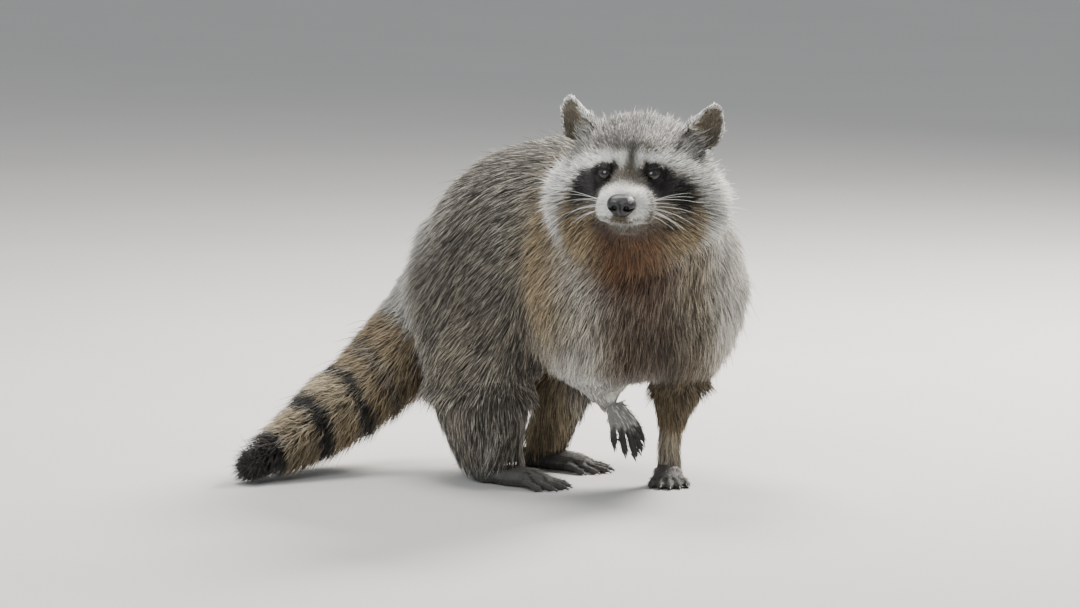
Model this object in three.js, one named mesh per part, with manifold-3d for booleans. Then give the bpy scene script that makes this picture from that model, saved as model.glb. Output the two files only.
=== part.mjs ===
// A raccoon, life size and at rest in mid-stride: the right forepaw is lifted and the head is turned
// to its right. Millimetres, +Z up. The animal faces -Y, its left is +X, and it stands on Z = 0.
//
// The outline, out to the tips of the coat, is one smooth field of rounded masses. Each named piece
// is that field meshed on a grid of its own and parted from its neighbours by thin plane cuts. Paws,
// ears, eyes and nose are shaped separately and fitted to it.

import * as THREE from "three";
import { mergeVertices } from "three/addons/utils/BufferGeometryUtils.js";
import Module from "manifold-3d";

const wasm = await Module();
wasm.setup();

// ---------------------------------------------------------------- driving dimensions

const GAP = 0.3; // between two pieces that touch
const BELLY_CUT = 89; // height at which the legs are parted from the trunk
const SOLE = 0; // level of the flats that the paws stand on
const PRESS = 1.5; // how far the pads are pressed flat
const HEAD_CELL = 11; // grids that the head, body, legs and tail are meshed on
const BODY_CELL = 23;
const LEG_CELL = 14;
const TAIL_CELL = 16;

const HEAD = { at: [-56, -103, 284], yaw: -48, pitch: 1, roll: 2.8 };
const EYE = {
  radius: 7.3,
  hollow: [8.5, 8, 7],
  left: [18.6, -44.5, 5.6],
  right: [-20.4, -44.5, 4],
};
const NOSE = { at: [-1, -91.5, -16], half: [12, 8.5, 9.5] };
const EAR = { across: 38, back: 14, up: 26, height: 42.5, width: 40, wall: 6.5, cup: 11, splay: 40, turn: 36 };

// Trunk and neck sections: centre, half width and half height.
const TRUNK = [
  { at: [-10, -56, 198], half: [76, 88] },
  { at: [-4, -10, 200], half: [87, 100] },
  { at: [0, 45, 202], half: [98, 103] },
  { at: [-4, 100, 194], half: [96, 98] },
  { at: [-14, 152, 171], half: [74, 79] },
];
const NECK = [
  { at: [-8, -40, 215], half: [78, 76] },
  { at: [-30, -74, 240], half: [72, 66] },
  { at: [-50, -94, 264], half: [62, 56] },
];
const TAIL = [
  { at: [-26, 190, 160], half: [44, 42] },
  { at: [-54, 210, 114], half: [38, 38] },
  { at: [-92, 216, 78], half: [35, 35] },
  { at: [-138, 216, 54], half: [32, 32] },
  { at: [-186, 211, 33], half: [25, 25] },
  { at: [-224, 206, 21], half: [18, 18] },
];
// Each leg from the body down to the wrist or heel: centre, half width across and half depth.
const LEGS = {
  fore_left: [
    { at: [56, -44, 178], half: [42, 50] },
    { at: [58, -34, 126], half: [40, 40] },
    { at: [55, -30, 90], half: [25, 26] },
    { at: [49, -30, 66], half: [15, 17] },
    { at: [45, -30, 44], half: [11, 12.5] },
    { at: [45, -30, 16], half: [11, 13] },
  ],
  fore_right: [
    { at: [-56, -46, 180], half: [42, 50] },
    { at: [-50, -26, 126], half: [29, 33] },
    { at: [-40, -32, 100], half: [17, 19] },
    { at: [-34, -38, 82], half: [11, 12] },
  ],
  hind_left: [
    { at: [34, 130, 172], half: [50, 62] },
    { at: [46, 104, 116], half: [36, 48] },
    { at: [36, 106, 72], half: [25, 32] },
    { at: [27, 112, 36], half: [17, 24] },
    { at: [22, 119, 20], half: [14, 25] },
  ],
  hind_right: [
    { at: [-54, 124, 172], half: [50, 60] },
    { at: [-68, 96, 116], half: [43, 60] },
    { at: [-71, 87, 72], half: [35, 52] },
    { at: [-69, 81, 38], half: [28, 40] },
    { at: [-65, 72, 20], half: [20, 32] },
  ],
};

const COLOURS = {
  coat: 0x6f6a62,
  pale: 0xcfc8b8,
  dark: 0x2c2724,
  skin: 0x55504a,
  nose: 0x1c1d20,
  eye: 0x1a1210,
};

// ---------------------------------------------------------------- fields

const X = new THREE.Vector3(1, 0, 0);
const Y = new THREE.Vector3(0, 1, 0);
const Z = new THREE.Vector3(0, 0, 1);
const vec = (a) => new THREE.Vector3(...a);
const rad = THREE.MathUtils.degToRad;

// How far a point, given by its distances along three axes, lies outside an ellipsoid's surface.
function outside(a, b, c, ra, rb, rc) {
  const length = Math.hypot(a, b, c);
  if (length < 1e-9) return -Math.min(ra, rb, rc);
  return length - length / Math.hypot(a / ra, b / rb, c / rc);
}

const ball = (centre, radii) => (p) =>
  outside(p.x - centre[0], p.y - centre[1], p.z - centre[2], ...radii);

// Elliptical sections swept through the stations, with rounded ends of the given lengths.
function sweep(stations, { across = X, ends = [20, 20], steps = 32 } = {}) {
  const line = new THREE.CatmullRomCurve3(stations.map((s) => vec(s.at)));
  const size = new THREE.CatmullRomCurve3(stations.map((s) => vec([...s.half, 0])));
  const ring = Array.from({ length: steps + 1 }, (_, i) => ({
    centre: line.getPoint(i / steps),
    tangent: line.getTangent(i / steps),
    half: size.getPoint(i / steps),
  }));
  const off = new THREE.Vector3();
  const side = new THREE.Vector3();
  const up = new THREE.Vector3();
  return (p) => {
    let nearest = null;
    for (let i = 0; i < steps; i++) {
      const a = ring[i];
      const b = ring[i + 1];
      const step = off.subVectors(b.centre, a.centre);
      const length = step.lengthSq();
      const free = side.subVectors(p, a.centre).dot(step) / length;
      const t = THREE.MathUtils.clamp(free, 0, 1);
      const away = side.copy(a.centre).addScaledVector(step, t).distanceToSquared(p);
      if (!nearest || away < nearest.away) nearest = { i, t, away };
    }
    const a = ring[nearest.i];
    const b = ring[nearest.i + 1];
    const tangent = up.lerpVectors(a.tangent, b.tangent, nearest.t).normalize().clone();
    side.copy(across).addScaledVector(tangent, -across.dot(tangent)).normalize();
    up.crossVectors(side, tangent);
    off.lerpVectors(a.centre, b.centre, nearest.t).subVectors(p, off);
    const width = THREE.MathUtils.lerp(a.half.x, b.half.x, nearest.t);
    const depth = THREE.MathUtils.lerp(a.half.y, b.half.y, nearest.t);
    const end = nearest.i + nearest.t < 1 ? ends[0] : ends[1];
    return outside(off.dot(side), off.dot(up), off.dot(tangent), width, depth, end);
  };
}

// Smooth union: fields closer than the blend width flow into each other.
const join = (blend, ...fields) => (p) =>
  fields.map((f) => f(p)).reduce((a, b) => {
    const near = Math.max(blend - Math.abs(a - b), 0) / blend;
    return Math.min(a, b) - (near * near * blend) / 4;
  });

// ---------------------------------------------------------------- meshing

// Surface nets: one vertex in each grid cell that the surface crosses, one quad for each crossed
// edge, and every vertex then drawn onto the surface, or to a small height above it.
function netOf(field, box, cell, above = 0) {
  const count = box.getSize(new THREE.Vector3()).divideScalar(cell).ceil().addScalar(1);
  const [nx, ny, nz] = [count.x, count.y, count.z];
  const index = (i, j, k) => i + nx * (j + ny * k);
  const value = new Float64Array(nx * ny * nz);
  const corner = (i, j, k) => vec([i, j, k]).multiplyScalar(cell).add(box.min);
  const rim = (n, most) => n === 0 || n === most - 1;
  for (let k = 0; k < nz; k++)
    for (let j = 0; j < ny; j++)
      for (let i = 0; i < nx; i++) {
        const d = field(corner(i, j, k));
        const onRim = rim(i, nx) || rim(j, ny) || rim(k, nz);
        value[index(i, j, k)] = onRim ? Math.max(d, cell / 2) : d;
      }

  settle(value, [1, nx, nx * ny]);

  const positions = [];
  const vertexOf = new Map();
  for (let k = 0; k < nz - 1; k++)
    for (let j = 0; j < ny - 1; j++)
      for (let i = 0; i < nx - 1; i++) {
        const crossings = crossingsOf(value, index, i, j, k);
        if (!crossings.length) continue;
        const mean = crossings
          .reduce((sum, c) => sum.add(c), new THREE.Vector3())
          .divideScalar(crossings.length)
          .multiplyScalar(cell)
          .add(box.min);
        vertexOf.set(index(i, j, k), positions.length / 3);
        positions.push(...drawn((p) => field(p) - above, mean, cell / 4).toArray());
      }

  const faces = [];
  const quad = (a, b, c, d, flip) => {
    const [p, q, r, s] = [a, b, c, d].map((cellIndex) => vertexOf.get(cellIndex));
    faces.push(...(flip ? [p, q, r, p, r, s] : [p, r, q, p, s, r]));
  };
  const steps = [1, nx, nx * ny];
  for (let k = 0; k < nz - 1; k++)
    for (let j = 0; j < ny - 1; j++)
      for (let i = 0; i < nx - 1; i++) {
        const here = index(i, j, k);
        steps.forEach((step, axis) => {
          const inside = value[here] < 0;
          if (inside === value[here + step] < 0) return;
          const u = steps[(axis + 1) % 3];
          const v = steps[(axis + 2) % 3];
          quad(here, here - u, here - u - v, here - v, inside);
        });
      }
  return solid(positions, faces);
}

// Where opposite corners of a grid square lie inside and the other two outside, the corner nearest
// the surface changes sides, so that no edge of the net is shared by four faces.
function settle(value, steps) {
  const inside = (n) => value[n] < 0;
  for (let pass = 0; pass < 6; pass++)
    for (let a = 0; a < value.length; a++)
      for (let axis = 0; axis < 3; axis++) {
        const b = a + steps[axis];
        const d = a + steps[(axis + 1) % 3];
        const c = b + d - a;
        if (c >= value.length) continue;
        if (inside(a) !== inside(c) || inside(b) !== inside(d) || inside(a) === inside(b)) continue;
        const nearest = [a, b, c, d].sort((m, n) => Math.abs(value[m]) - Math.abs(value[n]))[0];
        value[nearest] = value[nearest] < 0 ? 1e-3 : -1e-3;
      }
}

// Where the surface crosses the twelve edges of a grid cell, in cells.
function crossingsOf(value, index, i, j, k) {
  const found = [];
  for (let axis = 0; axis < 3; axis++)
    for (let a = 0; a < 2; a++)
      for (let b = 0; b < 2; b++) {
        const from = [i, j, k];
        from[(axis + 1) % 3] += a;
        from[(axis + 2) % 3] += b;
        const to = [...from];
        to[axis] += 1;
        const v0 = value[index(...from)];
        const v1 = value[index(...to)];
        if (v0 < 0 === v1 < 0) continue;
        from[axis] += v0 / (v0 - v1);
        found.push(vec(from));
      }
  return found;
}

// Moves a point onto the surface, by no more than the given reach at a time.
function drawn(field, point, reach) {
  const h = 0.05;
  for (let n = 0; n < 4; n++) {
    const d = field(point);
    const slope = vec([X, Y, Z].map((axis) => {
      const ahead = field(point.clone().addScaledVector(axis, h));
      return (ahead - d) / h;
    }));
    const step = THREE.MathUtils.clamp(-d / Math.max(slope.lengthSq(), 0.1), -reach, reach);
    point.addScaledVector(slope, step);
  }
  return point;
}

const solid = (positions, faces) =>
  new wasm.Manifold(
    new wasm.Mesh({
      numProp: 3,
      vertProperties: new Float32Array(positions),
      triVerts: new Uint32Array(faces),
    }),
  );

function solidOf(geometry, matrix = new THREE.Matrix4()) {
  const bare = new THREE.BufferGeometry();
  bare.setAttribute("position", geometry.getAttribute("position").clone());
  if (geometry.index) bare.setIndex(geometry.index.clone());
  bare.applyMatrix4(matrix);
  const merged = mergeVertices(bare, 1e-4);
  return solid(merged.attributes.position.array, dropEmpty(merged.index.array));
}

// Triangles whose corners merged into one at a pole are left out.
function dropEmpty(index) {
  const kept = [];
  for (let i = 0; i < index.length; i += 3) {
    const [a, b, c] = index.slice(i, i + 3);
    if (a !== b && b !== c && c !== a) kept.push(a, b, c);
  }
  return kept;
}

function geometryOf(manifold) {
  const mesh = manifold.getMesh();
  const stride = mesh.numProp;
  const positions = new Float32Array(mesh.numVert * 3);
  for (let i = 0; i < mesh.numVert; i++)
    positions.set(mesh.vertProperties.subarray(i * stride, i * stride + 3), i * 3);
  const made = new THREE.BufferGeometry();
  made.setAttribute("position", new THREE.BufferAttribute(positions, 3));
  made.setIndex(new THREE.BufferAttribute(mesh.triVerts, 1));
  made.computeVertexNormals();
  return made;
}

// A plane through a point. Pieces keep its front or its back, less half the gap.
const cut = (point, normal) => ({ point: vec(point), normal: vec(normal).normalize() });
const back = (plane) => ({ point: plane.point, normal: plane.normal.clone().negate() });

// Keeps what lies in front of each plane.
const trimmed = (manifold, planes, inset = GAP / 2) =>
  planes.reduce(
    (rest, { point, normal }) => rest.trimByPlane(normal.toArray(), point.dot(normal) + inset),
    manifold,
  );

// The field, closed a little beyond each plane.
function closed(field, spare, planes) {
  const shelf = planes.map(({ point, normal }) => (p) =>
    p.dot(normal) - point.dot(normal) + spare);
  const kept = join(spare, (p) => -field(p), ...shelf);
  return (p) => -kept(p);
}

// The field meshed where the planes leave it, and then cut by them.
const piece = (field, box, cell, planes) =>
  trimmed(netOf(closed(field, 2 * cell, planes), box, cell), planes);

const boxOf = (low, high) => new THREE.Box3(vec(low), vec(high));

// ---------------------------------------------------------------- head

const headFrame = new THREE.Matrix4().compose(
  vec(HEAD.at),
  new THREE.Quaternion().setFromEuler(
    new THREE.Euler(rad(HEAD.pitch), rad(HEAD.roll), rad(HEAD.yaw), "ZXY"),
  ),
  new THREE.Vector3(1, 1, 1),
);
const toHead = headFrame.clone().invert();
const inHead = (local) => vec(local).applyMatrix4(headFrame);
const headWay = (local) => vec(local).transformDirection(headFrame);

const both = (make) => [make(1), make(-1)];

const headMasses = join(
  14,
  ball([0, 6, 6], [56, 54, 45]),
  ...both((s) => ball([s * 38.5, 10, -24], [40, 37, 36])),
  ball([0, -24, 7], [37, 27, 29]),
  sweep(
    [
      { at: [0, -30, -10], half: [33, 27] },
      { at: [0, -58, -17], half: [24, 20] },
      { at: [0, -82, -20], half: [19, 16] },
    ],
    { ends: [10, 9] },
  ),
  ...both((s) => ball([s * 10, -78, -23], [14, 13, 13])),
  sweep(
    [
      { at: [0, -16, -34], half: [36, 22] },
      { at: [0, -52, -35], half: [22, 13] },
      { at: [0, -74, -34], half: [13, 8] },
    ],
    { ends: [10, 7] },
  ),
);
const head = (p) => headMasses(p.clone().applyMatrix4(toHead));

// ---------------------------------------------------------------- body

const trunk = join(
  30,
  sweep(TRUNK, { ends: [56, 52] }),
  sweep(NECK, { ends: [30, 30] }),
  ...both((s) => ball([s * 46 - 2, -54, 178], [46, 50, 74])),
  ball([-6, -52, 149], [46, 40, 39]),
);
const legField = Object.fromEntries(
  Object.entries(LEGS).map(([name, stations]) => [name, sweep(stations, { ends: [30, 10] })]),
);
const tail = sweep(TAIL, { across: Y, ends: [20, 26] });

const body = join(24, trunk, head, tail, ...Object.values(legField));

// ---------------------------------------------------------------- cuts

const tailLine = new THREE.CatmullRomCurve3(TAIL.map((s) => vec(s.at)));
const acrossTail = (t) => ({ point: tailLine.getPoint(t), normal: tailLine.getTangent(t) });

const CUTS = {
  nape: { point: inHead([0, 20, -18]), normal: headWay([0, -1, 0.69]) },
  neck: cut([-24, -70, 236], [-0.35, -0.62, 0.7]),
  ribs: cut([0, 18, 200], [0, 1, 0.1]),
  loin: cut([-6, 104, 200], [0, 1, -0.25]),
  belly: cut([0, 0, BELLY_CUT], Z.toArray()),
  shoulder_left: cut([52, -40, 150], [1, 0, -0.45]),
  shoulder_right: cut([-54, -40, 150], [-1, 0, -0.45]),
  thigh_left: cut([40, 130, 150], [1, 0, -0.45]),
  thigh_right: cut([-60, 130, 150], [-1, 0, -0.45]),
  rump: cut([-40, 168, 130], [0, 1, 0]),
  tail: [0.14, 0.42, 0.64, 0.85].map(acrossTail),
  sole: cut([0, 0, SOLE - GAP / 2], Z.toArray()),
};

// ---------------------------------------------------------------- ears, eyes and nose

// A cupped ear from a sphere: its front half is the hollow, its back half the outside.
function earGeometry(s) {
  const made = new THREE.SphereGeometry(1, 14, 9);
  const at = made.getAttribute("position");
  for (let i = 0; i < at.count; i++) {
    const [across, along, thick] = [at.getX(i), at.getY(i), at.getZ(i)];
    const rise = (along + 1) / 2;
    const full = Math.max(1 - along * along, 0.05) ** -0.1;
    const narrow = (1 - 0.38 * rise ** 1.6) * full;
    const bowl = EAR.cup * (across * across * 0.9 + 0.25 * (1 - rise) - 0.15 * rise);
    at.setXYZ(
      i,
      (across * EAR.width * narrow) / 2,
      -bowl - thick * (EAR.wall / 2) * (thick < 0 ? 1 : 0.6),
      rise * EAR.height,
    );
  }
  made.scale(s, 1, 1);
  if (s < 0) made.index.array.reverse();
  return made;
}

function earMatrix(s) {
  const root = [s * EAR.across, EAR.back, EAR.up];
  const local = new THREE.Matrix4().compose(
    vec(root),
    new THREE.Quaternion().setFromEuler(
      new THREE.Euler(0, rad(s * EAR.splay), rad(s * EAR.turn), "YZX"),
    ),
    new THREE.Vector3(1, 1, 1),
  );
  return headFrame.clone().multiply(local);
}

const eyeAt = (s) => (s > 0 ? EYE.left : EYE.right);

const eyeSphere = (s, radius) =>
  solidOf(
    new THREE.SphereGeometry(radius, 11, 7),
    new THREE.Matrix4().setPosition(inHead(eyeAt(s))),
  );

// The shallow hollow in front of each eye, so that it looks out from its socket.
const eyeHollow = (s) =>
  solidOf(
    new THREE.SphereGeometry(1, 12, 8),
    headFrame
      .clone()
      .multiply(
        new THREE.Matrix4().setPosition(eyeAt(s)[0], eyeAt(s)[1] - 12, eyeAt(s)[2]),
      )
      .scale(vec(EYE.hollow)),
  );

const noseSolid = (grow) =>
  solidOf(
    new THREE.SphereGeometry(1, 14, 8),
    headFrame
      .clone()
      .multiply(new THREE.Matrix4().setPosition(...NOSE.at))
      .scale(vec(NOSE.half).addScalar(grow)),
  );

// ---------------------------------------------------------------- paws

// A closed tube through points, with a radius at each, made of flat-ended rings.
function tube(points, radii, sides = 5) {
  const line = new THREE.CatmullRomCurve3(points.map(vec));
  const positions = [];
  const faces = [];
  const rings = points.length;
  for (let i = 0; i < rings; i++) {
    const t = i / (rings - 1);
    const tangent = line.getTangent(t);
    const side = new THREE.Vector3().crossVectors(tangent, X).normalize();
    const up = new THREE.Vector3().crossVectors(side, tangent);
    for (let j = 0; j < sides; j++) {
      const angle = (2 * Math.PI * j) / sides;
      const at = line.getPoint(t);
      at.addScaledVector(side, radii[i] * Math.cos(angle));
      at.addScaledVector(up, radii[i] * Math.sin(angle));
      positions.push(...at.toArray());
      const next = (j + 1) % sides;
      if (i < rings - 1) {
        const [a, b, c, d] = [i * sides + j, i * sides + next, (i + 1) * sides + next, (i + 1) * sides + j];
        faces.push(a, c, b, a, d, c);
      }
    }
  }
  for (let j = 1; j < sides - 1; j++) {
    faces.push(0, j, j + 1);
    const last = (rings - 1) * sides;
    faces.push(last, last + j + 1, last + j);
  }
  const made = new THREE.BufferGeometry();
  made.setAttribute("position", new THREE.Float32BufferAttribute(positions, 3));
  made.setIndex(faces);
  return made;
}

// A digit in the paw's frame, toes towards -Y: root, knuckle, pad, and the claw that ends it.
function digit({ root, turn, length, lift, droop, radius }) {
  const way = new THREE.Vector3(Math.sin(rad(turn)), -Math.cos(rad(turn)), 0);
  const along = (share, z) => vec(root).addScaledVector(way, share * length).setZ(z).toArray();
  const claw = length + 7;
  const tip = vec(root).addScaledVector(way, claw).setZ(lift - droop - radius * 0.75);
  return solidOf(
    tube(
      [
        along(0, root[2]),
        along(0.5, lift),
        along(0.94, lift - droop * 0.8),
        along(1.08, lift - droop * 0.75),
        tip.toArray(),
      ],
      [radius * 1.1, radius, radius * 1.08, 1.9, 0.4],
    ),
  );
}

function pawSolid({ palm, digits, matrix }) {
  const masses = palm.map(({ at, half }) =>
    solidOf(
      new THREE.SphereGeometry(1, 8, 6),
      new THREE.Matrix4().setPosition(...at).scale(vec(half)),
    ),
  );
  const whole = [...masses, ...digits.map(digit)].reduce((a, b) => a.add(b));
  return whole.transform(matrix.toArray());
}

// Five digits fanned across a paw, the middle one the longest.
const fan = ({ spread, width, rootY, rootZ, length, lift, droop, radius }) =>
  [-2, -1, 0, 1, 2].map((n) => ({
    root: [(n * width) / 4, rootY + Math.abs(n) * 2.2, rootZ],
    turn: n * spread,
    length: length * (1 - 0.06 * n * n),
    lift,
    droop,
    radius,
  }));

const forePaw = {
  palm: [
    { at: [0, -6, 11], half: [13, 15, 10] },
    { at: [0, -16, 8], half: [14, 12, 7.5] },
  ],
  digits: fan({
    spread: 8, width: 23, rootY: -18, rootZ: 7.5, length: 21, lift: 6.5, droop: 3, radius: 3.6,
  }),
};
const hangingPaw = {
  palm: [
    { at: [0, -6, 2], half: [11.5, 15, 9] },
    { at: [0, -19, 1], half: [14.5, 13, 7.5] },
  ],
  digits: fan({
    spread: 6, width: 27, rootY: -24, rootZ: 1, length: 30, lift: 0.5, droop: 5, radius: 3.4,
  }),
};
const hindPaw = {
  palm: [
    { at: [0, 0, 11], half: [13, 17, 12] },
    { at: [0, -32, 9], half: [16, 34, 9.5] },
  ],
  digits: fan({
    spread: 9, width: 28, rootY: -51, rootZ: 7.5, length: 29, lift: 6.2, droop: 3, radius: 3.4,
  }),
};

const pawMatrix = (at, heading, pitch = 0, roll = 0) =>
  new THREE.Matrix4().compose(
    vec(at),
    new THREE.Quaternion().setFromEuler(new THREE.Euler(rad(pitch), rad(roll), rad(heading), "ZXY")),
    new THREE.Vector3(1, 1, 1),
  );

const PAWS = {
  fore_left: { ...forePaw, matrix: pawMatrix([46, -26, -PRESS], -38) },
  fore_right: { ...hangingPaw, matrix: pawMatrix([-33, -39, 84], 8, 52) },
  hind_left: { ...hindPaw, matrix: pawMatrix([17.5, 127, -PRESS], 17) },
  hind_right: { ...hindPaw, matrix: pawMatrix([-72, 78, -PRESS], 16) },
};

// Where each paw meets its leg.
const PAW_CUTS = {
  fore_left: cut([45, -30, 19], [0, 0.15, 1]),
  fore_right: cut([-34, -41, 76], [-0.1, 0.5, 0.86]),
  hind_left: cut([20, 116, 20], [0, 0.2, 1]),
  hind_right: cut([-72, 76, 20], [0, 0.2, 1]),
};

// ---------------------------------------------------------------- assembly

const raccoon = new THREE.Group();
const finish = (colour, roughness) =>
  new THREE.MeshStandardMaterial({ color: colour, roughness, metalness: 0 });

function add(name, manifold, colour, roughness = 0.9) {
  const mesh = new THREE.Mesh(geometryOf(manifold), finish(colour, roughness));
  mesh.name = name;
  raccoon.add(mesh);
}

const BODY_BOX = boxOf([-130, -150, 55], [120, 275, 340]);

const sockets = [
  ...both((s) => eyeSphere(s, EYE.radius + GAP)),
  ...both(eyeHollow),
  noseSolid(GAP),
];
const headBox = new THREE.Box3().setFromCenterAndSize(vec(HEAD.at), vec([250, 250, 220]));
const headShape = closed(join(24, head, trunk), 2 * HEAD_CELL, [CUTS.nape]);
const headSolid = sockets.reduce(
  (rest, socket) => rest.subtract(socket),
  trimmed(netOf(headShape, headBox, HEAD_CELL), [CUTS.nape]),
);
const aroundHead = netOf(headShape, headBox, HEAD_CELL, 1.2 * GAP);
add("head", headSolid, COLOURS.pale);
both((s) => {
  const side = s > 0 ? "left" : "right";
  const whole = solidOf(earGeometry(s), earMatrix(s));
  add("ear_" + side, whole.subtract(aroundHead), COLOURS.pale);
  add("eye_" + side, eyeSphere(s, EYE.radius), COLOURS.eye, 0.1);
});
add("nose", noseSolid(0), COLOURS.nose, 0.4);

const behindHead = back(CUTS.nape);
add("neck", piece(join(24, trunk, head), BODY_BOX, BODY_CELL, [behindHead, CUTS.neck]), COLOURS.coat);

const above = CUTS.belly;
const front = [above, behindHead, back(CUTS.neck), back(CUTS.ribs)];
const pieces = {
  chest: [...front, back(CUTS.shoulder_left), back(CUTS.shoulder_right)],
  shoulder_left: [...front, CUTS.shoulder_left],
  shoulder_right: [...front, CUTS.shoulder_right],
  belly: [above, CUTS.ribs, back(CUTS.loin)],
  rump: [above, CUTS.loin, back(CUTS.thigh_left), back(CUTS.thigh_right)],
  thigh_left: [above, CUTS.loin, CUTS.thigh_left],
  thigh_right: [above, CUTS.loin, CUTS.thigh_right],
};
// The tail leaves the rump through a wedge between two planes.
const TAIL_ROOT = [CUTS.tail[0], CUTS.rump];
const everywhere = solidOf(new THREE.BoxGeometry(2000, 2000, 2000));
const beyondRump = trimmed(everywhere, TAIL_ROOT, -GAP / 2);
const trunkNet = netOf(body, BODY_BOX, BODY_CELL).subtract(beyondRump);
for (const [name, planes] of Object.entries(pieces))
  add(name, trimmed(trunkNet, planes), COLOURS.coat);

const lowerBox = {
  fore_left: boxOf([5, -85, 5], [95, 15, 115]),
  fore_right: boxOf([-85, -85, 60], [-5, 25, 115]),
  hind_left: boxOf([-20, 40, 5], [95, 185, 115]),
  hind_right: boxOf([-125, 10, 5], [-15, 150, 115]),
};
const LOWER = { fore: "forearm", hind: "shin" };
const PAW = { fore: "forepaw", hind: "hindpaw" };
for (const [name, box] of Object.entries(lowerBox)) {
  const [end, side] = name.split("_");
  const leg = join(20, trunk, legField[name]);
  const below = [back(CUTS.belly), PAW_CUTS[name]];
  add(LOWER[end] + "_" + side, piece(leg, box, LEG_CELL, below), COLOURS.coat);
  const paw = trimmed(pawSolid(PAWS[name]), [back(PAW_CUTS[name]), CUTS.sole]);
  add(PAW[end] + "_" + side, paw, COLOURS.skin);
}

const tailBox = boxOf([-268, 126, -8], [40, 275, 220]);
const rootPlanes = [...TAIL_ROOT, back(CUTS.tail[1])];
add("tail_base", piece(join(24, trunk, tail), tailBox, TAIL_CELL, rootPlanes), COLOURS.coat);
["middle", "end", "tip"].forEach((name, n) => {
  const planes = [CUTS.tail[n + 1], CUTS.tail[n + 2] && back(CUTS.tail[n + 2])].filter(Boolean);
  const colour = name === "tip" ? COLOURS.dark : COLOURS.coat;
  add("tail_" + name, piece(tail, tailBox, TAIL_CELL, planes), colour);
});

// The origin is on the floor, under the middle of the model's box.
const bounds = new THREE.Box3().setFromObject(raccoon);
const middle = bounds.getCenter(new THREE.Vector3());
raccoon.position.set(-middle.x, -middle.y, 0);

export default raccoon;
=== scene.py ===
"""A raccoon in mid-stride: one skin under a coat of tufts, with its eyes, nose, claws and whiskers.

Metres, +Z up. The trunk faces -Y and the animal's left is +X. Shapes on the head are worked out in
millimetres in the head's own frame: +x its left, -y forwards, +z up.
"""

from dataclasses import dataclass

import bmesh
import bpy
import numpy as np
from mathutils import Matrix, Vector
from mathutils.bvhtree import BVHTree


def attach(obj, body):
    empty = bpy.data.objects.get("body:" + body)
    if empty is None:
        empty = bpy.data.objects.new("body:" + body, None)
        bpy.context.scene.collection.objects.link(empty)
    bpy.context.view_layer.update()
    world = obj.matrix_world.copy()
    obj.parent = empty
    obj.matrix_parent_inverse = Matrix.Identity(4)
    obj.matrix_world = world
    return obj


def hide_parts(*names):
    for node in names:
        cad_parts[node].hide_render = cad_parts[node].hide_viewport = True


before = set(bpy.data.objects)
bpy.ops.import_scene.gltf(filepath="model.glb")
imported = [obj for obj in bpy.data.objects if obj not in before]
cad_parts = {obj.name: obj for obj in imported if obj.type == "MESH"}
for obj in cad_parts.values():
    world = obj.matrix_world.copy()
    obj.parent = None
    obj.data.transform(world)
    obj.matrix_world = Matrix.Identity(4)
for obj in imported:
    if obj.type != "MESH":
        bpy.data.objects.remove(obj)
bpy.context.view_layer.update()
chance = np.random.default_rng(11)

MM = 0.001
NODES = sorted(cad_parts)
EYES = {"left": "eye_left", "right": "eye_right"}
FLESH = [name for name in NODES if not name.startswith("eye") and name != "nose"]


# ------------------------------------------------------------------------------- small tools


def unit(vectors):
    """Vectors along the last axis, each made one long."""
    return vectors / np.maximum(np.linalg.norm(vectors, axis=-1, keepdims=True), 1e-12)


def ramp(low, high, value):
    """0 below low, 1 above high, and smooth between. low may be the larger."""
    t = np.clip((value - low) / (high - low), 0, 1)
    return t * t * (3 - 2 * t)


def bump(value, at, width):
    """1 where value is at, falling to nothing a few widths away."""
    return np.exp(-(((value - at) / width) ** 2))


def wobble(points, size, seed=0):
    """A smooth random number, about -1 to 1, that changes over lengths of about size."""
    total = np.zeros(len(points))
    turn = np.random.default_rng(seed)
    for octave in (1.0, 1.9, 3.7):
        ways = turn.normal(size=(4, 3)) * octave / size
        shift = turn.uniform(0, 6.3, 4)
        total += np.sin(points @ ways.T + shift).sum(1) / (4 * octave)
    return total


def centre(node):
    """The middle of a solid's vertices."""
    return points_of(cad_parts[node].data).mean(0)


def add_object(name, mesh):
    made = bpy.data.objects.new(name, mesh)
    bpy.context.collection.objects.link(made)
    return made


def mesh_from(name, vertices, faces):
    """A mesh from an array of points and an array or list of faces."""
    mesh = bpy.data.meshes.new(name)
    mesh.from_pydata(np.asarray(vertices).tolist(), [], [list(map(int, face)) for face in faces])
    mesh.update()
    return mesh


def points_of(mesh):
    flat = np.empty(len(mesh.vertices) * 3, dtype=np.float32)
    mesh.vertices.foreach_get("co", flat)
    return flat.reshape(-1, 3).astype(float)


def normals_of(mesh):
    flat = np.empty(len(mesh.vertices) * 3, dtype=np.float32)
    mesh.vertex_normals.foreach_get("vector", flat)
    return flat.reshape(-1, 3).astype(float)


def edges_of(mesh):
    flat = np.empty(len(mesh.edges) * 2, dtype=np.int32)
    mesh.edges.foreach_get("vertices", flat)
    return flat.reshape(-1, 2)


def place(mesh, points):
    mesh.vertices.foreach_set("co", points.astype(np.float32).ravel())
    mesh.update()


def spread(values, edges, rounds, share=0.5):
    """Values at the vertices, each moved towards its neighbours' mean, again and again."""
    values = np.array(values, dtype=float)
    wide = values.reshape(len(values), -1)
    share = np.broadcast_to(share, len(wide))[:, None]
    count = np.bincount(edges.ravel(), minlength=len(wide))[:, None]
    for _ in range(rounds):
        total = np.empty_like(wide)
        for column in range(wide.shape[1]):
            there = np.bincount(edges[:, 0], wide[edges[:, 1], column], len(wide))
            back = np.bincount(edges[:, 1], wide[edges[:, 0], column], len(wide))
            total[:, column] = there + back
        wide = wide + share * (total / np.maximum(count, 1) - wide)
    return wide.reshape(values.shape)


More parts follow.
